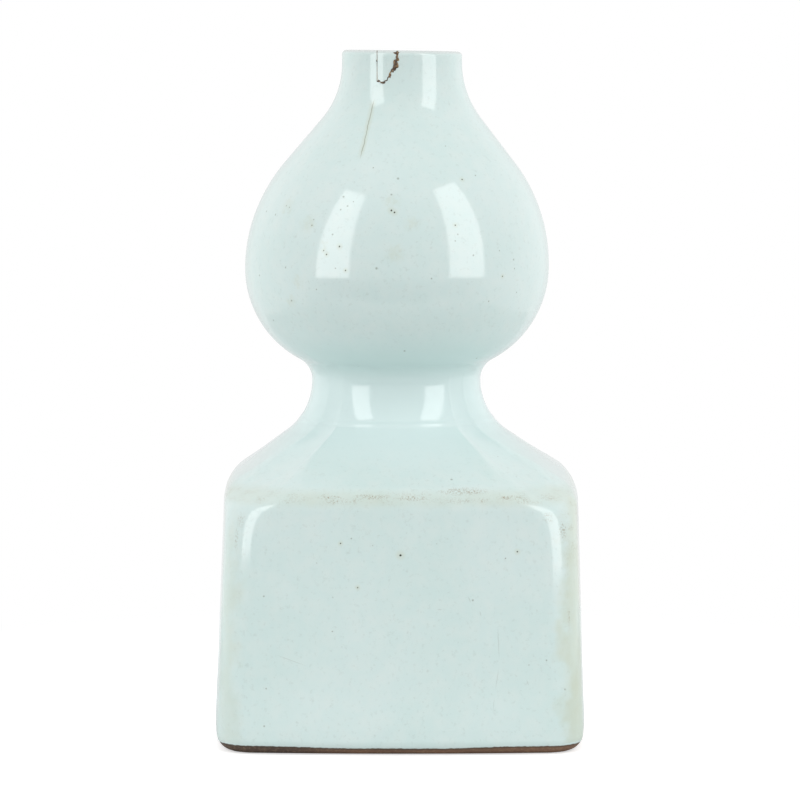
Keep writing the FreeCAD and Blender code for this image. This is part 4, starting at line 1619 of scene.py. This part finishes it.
    def cracked(self, bench: Bench, tone: Any) -> Any:
        """The hairline that runs down from the broken rim, with the stain that crept out of it.

        Args:
            bench: material that is being made.
            tone: tone of the glaze beside it.

        Returns:
            The tone with the hairline in it.
        """
        tree = bench.tree
        (top, foot), (start, end) = self.crack_ends, self.crack_across
        wobble = add(tree, "TexNoise", {"Vector": bench.spot, "Scale": 1 / self.crack_wobble, "Detail": 3.0})
        wobble = add(tree, "Math", {0: wobble, 1: 0.5}, operation="SUBTRACT")
        run = add(tree, "MapRange", {0: bench.height, 1: top, 2: foot, 3: start, 4: end})
        away = add(tree, "Math", {0: bench.across, 1: run}, operation="SUBTRACT")
        away = add(tree, "Math", {0: wobble, 1: 1.6, 2: away}, operation="MULTIPLY_ADD")
        away = add(tree, "Math", {0: away}, operation="ABSOLUTE")
        length = add(tree, "MapRange", {0: bench.height, 1: foot, 2: foot + 4.0})
        upper = add(tree, "MapRange", {0: bench.height, 1: top + 0.5, 2: top - 2.0})
        front = add(tree, "Math", {0: bench.depth, 1: 0.0}, operation="LESS_THAN")
        length = add(tree, "Math", {0: length, 1: upper}, operation="MULTIPLY")
        length = add(tree, "Math", {0: length, 1: front}, operation="MULTIPLY")
        stain, line = (self.olive, 6 * self.crack_half, 0.4), (self.crack, self.crack_half, 0.75)
        for colour, wide, strength in (stain, line):
            share = add(tree, "MapRange", {0: away, 1: wide, 2: 0.25 * wide, 3: 0.0, 4: strength},
                        interpolation_type=SMOOTH)
            share = add(tree, "Math", {0: share, 1: length}, operation="MULTIPLY")
            tone = add(tree, "Mix", {0: share, 6: tone, 7: linear(colour)}, data_type="RGBA")
        return tone

    def relief(self, bench: Bench, pits: Any) -> Any:
        """Fine relief of the fired skin, in millimetres: dimples, slow waves, finger rings and pits.

        Args:
            bench: material that is being made.
            pits: mask of the pits.

        Returns:
            The bump node.
        """
        tree = bench.tree
        total = add(tree, "Math", {0: pits, 1: -self.pit_depth}, operation="MULTIPLY")
        for size, tall in ((self.peel_size, self.peel_height), (self.wave_size, self.wave_height)):
            noise = add(tree, "TexNoise", {"Vector": bench.spot, "Scale": 1 / size, "Detail": 1.0})
            total = add(tree, "Math", {0: noise, 1: tall, 2: total}, operation="MULTIPLY_ADD")
        ring = add(tree, "Math", {0: bench.height, 1: 2 * math.pi / self.ring_pitch}, operation="MULTIPLY")
        ring = add(tree, "Math", {0: ring}, operation="SINE")
        thrown = add(tree, "MapRange", {
            0: bench.height, 1: self.ring_zone[0], 2: self.ring_zone[1], 3: 0.0, 4: self.ring_height})
        total = add(tree, "Math", {0: ring, 1: thrown, 2: total}, operation="MULTIPLY_ADD")
        return add(tree, "Bump", {"Height": total, "Distance": MM, "Strength": 1.0})


@dataclass(frozen=True)
class IronDressing:
    """Iron-rich slip wiped on the bare foot, fired to a matt dark brown under the ragged edge of the glaze."""

    glaze: CeladonGlaze
    hand: HandShape
    dark: str = "#3e3128"
    brown: str = "#7d5b43"
    worn: str = "#967c62"
    # Sizes in millimetres: the grit and how far it stands up, the patches of thicker slip, and the ragged edge of
    # the glaze with how far it strays.
    grit_size: float = 1.6
    grit_height: float = 0.12
    patch_size: float = 26.0
    ragged_size: float = 2.2
    ragged_reach: float = 0.9
    roughness: float = 0.62

    def build(self, name: str) -> bpy.types.Material:
        """Makes the foot's finish: glaze above a ragged line and brown below it.

        Args:
            name: name of the material.

        Returns:
            The material.
        """
        bench = Bench.clear(name)
        tree = bench.tree
        glazed = self.glaze.pooled(bench)
        back = add(tree, "Math", {0: bench.depth, 1: -1.0}, operation="MULTIPLY")
        angle = add(tree, "Math", {0: bench.across, 1: back}, operation="ARCTAN2")
        edge: Any = add(tree, "Math", {0: self.hand.glaze_edge, 1: 0.0})
        for waves, start, tall in self.hand.edge_waves:
            turn = add(tree, "Math", {0: angle, 1: float(waves), 2: start}, operation="MULTIPLY_ADD")
            turn = add(tree, "Math", {0: turn}, operation="SINE")
            edge = add(tree, "Math", {0: turn, 1: tall, 2: edge}, operation="MULTIPLY_ADD")
        ragged = add(tree, "TexNoise", {"Vector": bench.spot, "Scale": 1 / self.ragged_size, "Detail": 3.0})
        ragged = add(tree, "Math", {0: ragged, 1: 0.5}, operation="SUBTRACT")
        edge = add(tree, "Math", {0: ragged, 1: self.ragged_reach, 2: edge}, operation="MULTIPLY_ADD")
        over = add(tree, "Math", {0: bench.height, 1: edge}, operation="SUBTRACT")
        grit = add(tree, "TexNoise", {
            "Vector": bench.spot, "Scale": 1 / self.grit_size, "Detail": 5.0, "Roughness": 0.7})
        patch = add(tree, "TexNoise", {"Vector": bench.spot, "Scale": 1 / self.patch_size, "Detail": 3.0})
        patch = add(tree, "MapRange", {0: patch, 1: 0.35, 2: 0.65, 3: 0.0, 4: 0.4})
        # The slip is darker towards the left.
        left = add(tree, "MapRange", {0: bench.across, 1: -15.0, 2: -50.0, 3: 0.0, 4: 0.85})
        patch = add(tree, "Math", {0: patch, 1: left}, operation="MAXIMUM")
        tone = add(tree, "Mix", {0: patch, 6: linear(self.brown), 7: linear(self.dark)}, data_type="RGBA")
        wear = add(tree, "MapRange", {0: grit, 1: 0.48, 2: 0.72, 3: 0.0, 4: 0.6})
        tone = add(tree, "Mix", {0: wear, 6: tone, 7: linear(self.worn)}, data_type="RGBA")
        # The slip is darkest where the glaze melted into it.
        fused = add(tree, "MapRange", {0: over, 1: -1.3, 2: -0.2, 3: 0.0, 4: 0.75}, interpolation_type=SMOOTH)
        tone = add(tree, "Mix", {0: fused, 6: tone, 7: linear(self.dark)}, data_type="RGBA")
        cover = add(tree, "MapRange", {0: over, 1: -0.1, 2: 0.12})
        tone = add(tree, "Mix", {0: cover, 6: tone, 7: glazed}, data_type="RGBA")
        rough = add(tree, "MapRange", {0: cover, 3: self.roughness, 4: self.glaze.roughness})
        tall = add(tree, "MapRange", {0: cover, 3: self.grit_height, 4: 0.0})
        tall = add(tree, "Math", {0: grit, 1: tall}, operation="MULTIPLY")
        bump = add(tree, "Bump", {"Height": tall, "Distance": MM, "Strength": 1.0})
        shader = add(tree, "BsdfPrincipled", {
            "Base Color": tone, "Roughness": rough, "IOR": self.glaze.index, "Normal": bump})
        add(tree, "OutputMaterial", {0: shader})
        return bench.material


@dataclass(frozen=True)
class BrownGlue:
    """Animal glue, brushed on and dried to a brittle brown resin.

    To the eye it is a clear ochre where it is thin, and nearly black where it is thick.
    """

    dark: str = "#2e241a"
    brown: str = "#6b4f31"
    thin: str = "#a88f63"
    lump_size: float = 1.5
    lump_height: float = 0.3
    roughness: float = 0.38
    index: float = 1.52

    def build(self, name: str) -> bpy.types.Material:
        """Makes the glue.

        Args:
            name: name of the material.

        Returns:
            The material.
        """
        bench = Bench.clear(name)
        tree = bench.tree
        lump = add(tree, "TexNoise", {
            "Vector": bench.spot, "Scale": 1 / self.lump_size, "Detail": 4.0, "Roughness": 0.6})
        thick = add(tree, "MapRange", {0: lump, 1: 0.38, 2: 0.58})
        tone = add(tree, "Mix", {0: thick, 6: linear(self.dark), 7: linear(self.brown)}, data_type="RGBA")
        clear = add(tree, "MapRange", {0: lump, 1: 0.54, 2: 0.68})
        tone = add(tree, "Mix", {0: clear, 6: tone, 7: linear(self.thin)}, data_type="RGBA")
        tall = add(tree, "Math", {0: lump, 1: self.lump_height}, operation="MULTIPLY")
        bump = add(tree, "Bump", {"Height": tall, "Distance": MM, "Strength": 1.0})
        shader = add(tree, "BsdfPrincipled", {
            "Base Color": tone, "Roughness": self.roughness, "IOR": self.index, "Normal": bump})
        add(tree, "OutputMaterial", {0: shader})
        return bench.material


# Marks on each piece, in millimetres

UPPER_MARKS = Marks(
    hairline=True,
    flecks=((-3.9, -65.6, 247.5, 0.42), (-2.5, -66.0, 246.6, 0.38), (-27.6, -65.1, 231.0, 0.38),
            (-33.5, -63.0, 227.3, 0.34), (-34.9, -62.0, 229.0, 0.3), (-24.8, -67.3, 220.3, 0.32),
            (28.5, -51.1, 261.0, 0.34), (-40.3, -55.6, 240.2, 0.26), (25.2, -62.9, 240.6, 0.3)),
    pinholes=((34.7, -45.8, 262.7, 0.4), (-0.9, -58.0, 261.7, 0.6), (-52.4, -39.8, 248.6, 0.4),
              (-50.9, -42.1, 247.8, 0.4), (-62.0, -26.4, 245.3, 0.5), (-57.6, -35.6, 244.3, 0.5),
              (-39.5, -55.1, 242.9, 0.4), (-25.8, -57.6, 253.5, 0.5), (-21.2, -60.5, 251.3, 0.35),
              (-23.9, -60.5, 249.3, 0.45), (-27.1, -60.0, 247.6, 0.45), (-30.7, -62.4, 236.4, 0.5),
              (-3.9, -62.2, 254.6, 0.5), (-29.4, -65.5, 221.1, 0.4), (-10.7, -70.7, 221.4, 0.6),
              (-52.6, -49.7, 220.6, 0.5), (26.3, -63.6, 236.5, 0.4), (25.2, -64.8, 233.6, 0.4),
              (33.5, -61.9, 226.8, 0.5), (45.6, -53.1, 228.6, 0.4), (52.3, -47.0, 224.1, 0.5),
              (52.7, -46.8, 219.9, 0.4)),
    blotches=((-51.6, -41.0, 248.0, 5.5), (-42.0, -54.0, 241.0, 6.0), (-34.4, -61.6, 231.5, 2.4),
              (5.7, -67.4, 241.7, 5.0), (-3.6, -63.6, 251.5, 4.5), (-2.0, -71.0, 228.0, 6.0)),
    scratches=((30.3, 239.5, 41.0, 237.8, 0.3), (-55.9, 225.4, -52.1, 222.9, 0.4)))
LOWER_MARKS = Marks(
    flecks=((47.0, -52.6, 216.7, 0.3),),
    pinholes=((-65.1, -32.6, 215.9, 0.5), (14.3, -69.7, 216.8, 0.4), (-49.8, -50.4, 205.4, 0.5),
              (-58.7, -32.8, 195.0, 0.5), (-38.2, -60.7, 211.2, 0.4), (53.7, -44.0, 208.7, 0.4),
              (40.6, -55.7, 205.4, 0.4), (2.1, -56.2, 182.6, 0.5), (35.6, -32.8, 177.3, 0.5)),
    blotches=((-46.9, -54.9, 214.5, 4.5), (-49.8, -50.4, 205.4, 4.5)))
DOME_MARKS = Marks(
    pinholes=((44.1, -50.0, 134.2, 0.6), (23.5, -72.4, 125.1, 0.6)),
    grime=((-12.8, -80.5, 118.2, 9.5), (29.0, -79.0, 120.3, 13.0), (-32.0, -80.0, 117.8, 7.0),
           (50.0, -78.0, 117.5, 8.0), (5.0, -80.0, 117.5, 9.0)))
WALL_MARKS = Marks(
    rubbed=((-74.0, -78.0, 109.0, 4.0), (-76.5, -76.5, 99.0, 3.6), (68.5, -80.5, 111.0, 3.6),
            (75.0, -77.5, 103.0, 3.4), (78.5, -74.5, 84.0, 3.6), (78.8, -75.5, 62.0, 4.0)),
    flecks=((0.2, -83.8, 91.8, 0.52), (-27.0, -83.2, 97.2, 0.3), (53.3, -82.0, 93.3, 0.34),
            (-19.3, -84.2, 77.1, 0.3)),
    pinholes=((-22.0, -83.3, 99.4, 0.4), (-62.0, -82.3, 72.8, 0.45), (-61.0, -83.9, 30.7, 0.4),
              (-61.9, -84.5, 13.4, 0.5), (-30.7, -84.6, 57.0, 0.4), (66.7, -83.0, 43.5, 0.45),
              (75.2, -80.8, 29.8, 0.5), (78.6, -76.2, 57.2, 0.5), (79.3, -78.3, 15.1, 0.5),
              (33.0, -84.0, 71.2, 0.5)),
    scratches=((-59.0, 47.2, -39.8, 40.1, 0.3), (16.2, 67.1, 19.7, 67.2, 0.5), (36.2, 66.8, 36.9, 63.4, 0.45),
               (30.6, 73.5, 32.4, 69.6, 0.45), (57.4, 35.2, 58.9, 31.6, 0.4), (44.3, 61.9, 45.2, 41.4, 0.35),
               (45.2, 42.0, 43.1, 27.8, 0.35), (43.2, 28.2, 42.1, 18.6, 0.3)))


# The studio


@dataclass(frozen=True)
class Softbox:
    """A tall strip softbox: its direction round the vase in degrees, its sizes in metres, its power in watts."""

    name: str
    azimuth: float
    width: float
    bottom: float
    top: float
    power: float
    distance: float = 1.85

    def hang(self) -> None:
        """Puts the softbox up, turned to the vase."""
        lamp = bpy.data.lights.new(self.name, "AREA")
        lamp.shape, lamp.energy = "RECTANGLE", self.power
        lamp.size, lamp.size_y = self.width, self.top - self.bottom
        item = bpy.data.objects.new(self.name, lamp)
        turn = math.radians(self.azimuth)
        across, depth = math.sin(turn) * self.distance, -math.cos(turn) * self.distance
        item.location = (across, depth, (self.top + self.bottom) / 2)
        item.rotation_euler = (math.radians(90), 0.0, turn)
        bpy.context.scene.collection.objects.link(item)


@dataclass(frozen=True)
class Studio:
    """Floor, lamps, surroundings and camera of the photograph."""

    # The table: its half-width in metres, its paint, and what the camera sees, which goes over into white between
    # two distances from the vase in millimetres.
    table_half: float = 0.4
    table_paint: str = "#e4e7e7"
    table_seen: str = "#e6e6e6"
    table_fade: tuple[float, float] = (180.0, 380.0)
    # The room as the glaze mirrors it, as shares of white: in front, to the sides and behind, with the shaded
    # floor in front of the vase and the heights of its far edge.
    room_front: float = 0.6
    room_sides: float = 1.26
    room_behind: float = 0.84
    room_shade: str = "#98a5aa"
    floor_edge: tuple[float, float] = (-0.126, -0.146)
    # The light that the room gives, from the front and from behind.
    room_light: tuple[float, float] = (0.33, 0.96)
    softboxes: tuple[Softbox, ...] = (Softbox("softbox_left", -49.0, 0.854, 0.04, 2.45, 20.3),
                                      Softbox("softbox_right", 53.5, 0.957, 0.01, 2.7, 23.9))
    # The camera: its lens in millimetres, its place in metres and how far it looks down in degrees.
    lens: float = 181.47
    camera_distance: float = 1.9
    camera_height: float = 0.33
    camera_pitch: float = 5.266

    def table(self) -> None:
        """The pale table. To the camera it goes over into pure white away from the vase."""
        half = self.table_half
        mesh = bpy.data.meshes.new("table")
        corners = [(-half, -half, 0.0), (half, -half, 0.0), (half, half, 0.0), (-half, half, 0.0)]
        mesh.from_pydata(corners, [], [(0, 1, 2, 3)])
        bench = Bench.clear("painted_table")
        tree = bench.tree
        reach = add(tree, "VectorMath", {0: bench.spot}, operation="LENGTH")
        away = add(tree, "MapRange", {0: reach, 1: self.table_fade[0], 2: self.table_fade[1]},
                   interpolation_type=SMOOTH)
        paint = add(tree, "BsdfDiffuse", {0: linear(self.table_paint)})
        plain = add(tree, "BsdfDiffuse", {0: linear(self.table_seen)})
        lift = add(tree, "Emission", {0: linear("#ffffff"), 1: 0.5})
        white = add(tree, "Emission", {0: linear("#ffffff"), 1: 1.0})
        near = add(tree, "AddShader", {0: plain, 1: lift})
        seen = add(tree, "MixShader", {0: away, 1: near, 2: white})
        path = add(tree, "LightPath").outputs
        shown = add(tree, "MixShader", {0: path["Is Camera Ray"], 1: paint, 2: seen})
        add(tree, "OutputMaterial", {0: shown})
        mesh.materials.append(bench.material)
        place("table", mesh)

    def surroundings(self) -> None:
        """White surroundings: plain white to the camera, a white room with a shaded front floor in the glaze."""
        world = bpy.data.worlds.new("white_room")
        world.use_nodes = True
        tree = world.node_tree
        tree.nodes.clear()
        white = linear("#ffffff")
        direction = add(tree, "TexCoord").outputs["Generated"]
        way = add(tree, "SeparateXYZ", {0: direction}).outputs
        front = add(tree, "MapRange", {0: way[1], 1: -1.0, 2: -0.35, 3: self.room_front, 4: 1.0},
                    interpolation_type=SMOOTH)
        # The room is brighter to both sides and the backdrop a little duller than white.
        side = add(tree, "Math", {0: way[0]}, operation="ABSOLUTE")
        side = add(tree, "MapRange", {0: side, 1: 0.1, 2: 0.9, 3: 1.0, 4: self.room_sides})
        back = add(tree, "MapRange", {0: way[1], 1: 0.75, 2: 0.97, 3: 1.0, 4: self.room_behind},
                   interpolation_type=SMOOTH)
        side = add(tree, "Math", {0: side, 1: back}, operation="MULTIPLY")
        front = add(tree, "Math", {0: front, 1: side}, operation="MULTIPLY")
        below = add(tree, "MapRange", {0: way[2], 1: self.floor_edge[0], 2: self.floor_edge[1]},
                    interpolation_type=SMOOTH)
        near = add(tree, "MapRange", {0: way[1], 1: -0.2, 2: -0.75}, interpolation_type=SMOOTH)
        below = add(tree, "Math", {0: below, 1: near}, operation="MULTIPLY")
        room = add(tree, "Mix", {0: below, 6: white, 7: linear(self.room_shade)}, data_type="RGBA")
        seen = add(tree, "Background", {0: room, 1: front})
        behind = add(tree, "MapRange", {
            0: way[1], 1: -1.0, 2: 0.0, 3: self.room_light[0], 4: self.room_light[1]}, interpolation_type=SMOOTH)
        light = add(tree, "Background", {0: white, 1: behind})
        plain = add(tree, "Background", {0: white, 1: 1.0})
        path = add(tree, "LightPath").outputs
        mirrored = add(tree, "Math", {0: path["Is Glossy Ray"], 1: path["Is Transmission Ray"]},
                       operation="MAXIMUM")
        lit = add(tree, "MixShader", {0: mirrored, 1: light, 2: seen})
        shown = add(tree, "MixShader", {0: path["Is Camera Ray"], 1: lit, 2: plain})
        add(tree, "OutputWorld", {0: shown})
        bpy.context.scene.world = world

    def camera(self) -> None:
        """The camera, about level with the rim and looking slightly down."""
        lens = bpy.data.cameras.new("camera")
        lens.lens, lens.sensor_width, lens.clip_start, lens.clip_end = self.lens, 36.0, 0.05, 50.0
        item = bpy.data.objects.new("camera", lens)
        item.location = (0.0, -self.camera_distance, self.camera_height)
        item.rotation_euler = (math.radians(90 - self.camera_pitch), 0.0, 0.0)
        bpy.context.scene.collection.objects.link(item)
        bpy.context.scene.camera = item

    def build(self) -> None:
        """Sets the studio up."""
        bpy.context.scene.view_settings.view_transform = "Standard"
        self.camera()
        self.table()
        self.surroundings()
        for softbox in self.softboxes:
            softbox.hang()


def main() -> None:
    """Loads the frame, dresses it and sets up the studio."""
    logging.basicConfig(level=logging.INFO, format="%(name)s: %(message)s")
    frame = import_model()
    form, hand = GourdForm(), HandShape()
    glaze = CeladonGlaze()
    plain = glaze.build("celadon_plain")
    neck = glaze.build("celadon_neck", Marks(hairline=True))
    MendedNeck(form, hand).build(neck, BrownGlue().build("brown_glue"))
    upper = glaze.build("celadon_bulb_upper", UPPER_MARKS)
    ThrownBulb(form, hand).build(upper, glaze.build("celadon_bulb_lower", LOWER_MARKS))
    walls = [glaze.build("celadon_front", WALL_MARKS), plain, plain, plain]
    foot = IronDressing(glaze, hand).build("iron_dressed_foot")
    PressedBody(form, hand).build(glaze.build("celadon_dome", DOME_MARKS), walls, foot)
    for name in ("base_coil", "coil_front_right", "coil_back_right", "coil_back_left", "coil_front_left"):
        coil = frame["nodes"][name]
        coil.data.materials.clear()
        coil.data.materials.append(plain)
        LOG.info("%s: kept from the frame", name)
    Studio().build()


if __name__ == "__main__":
    main()
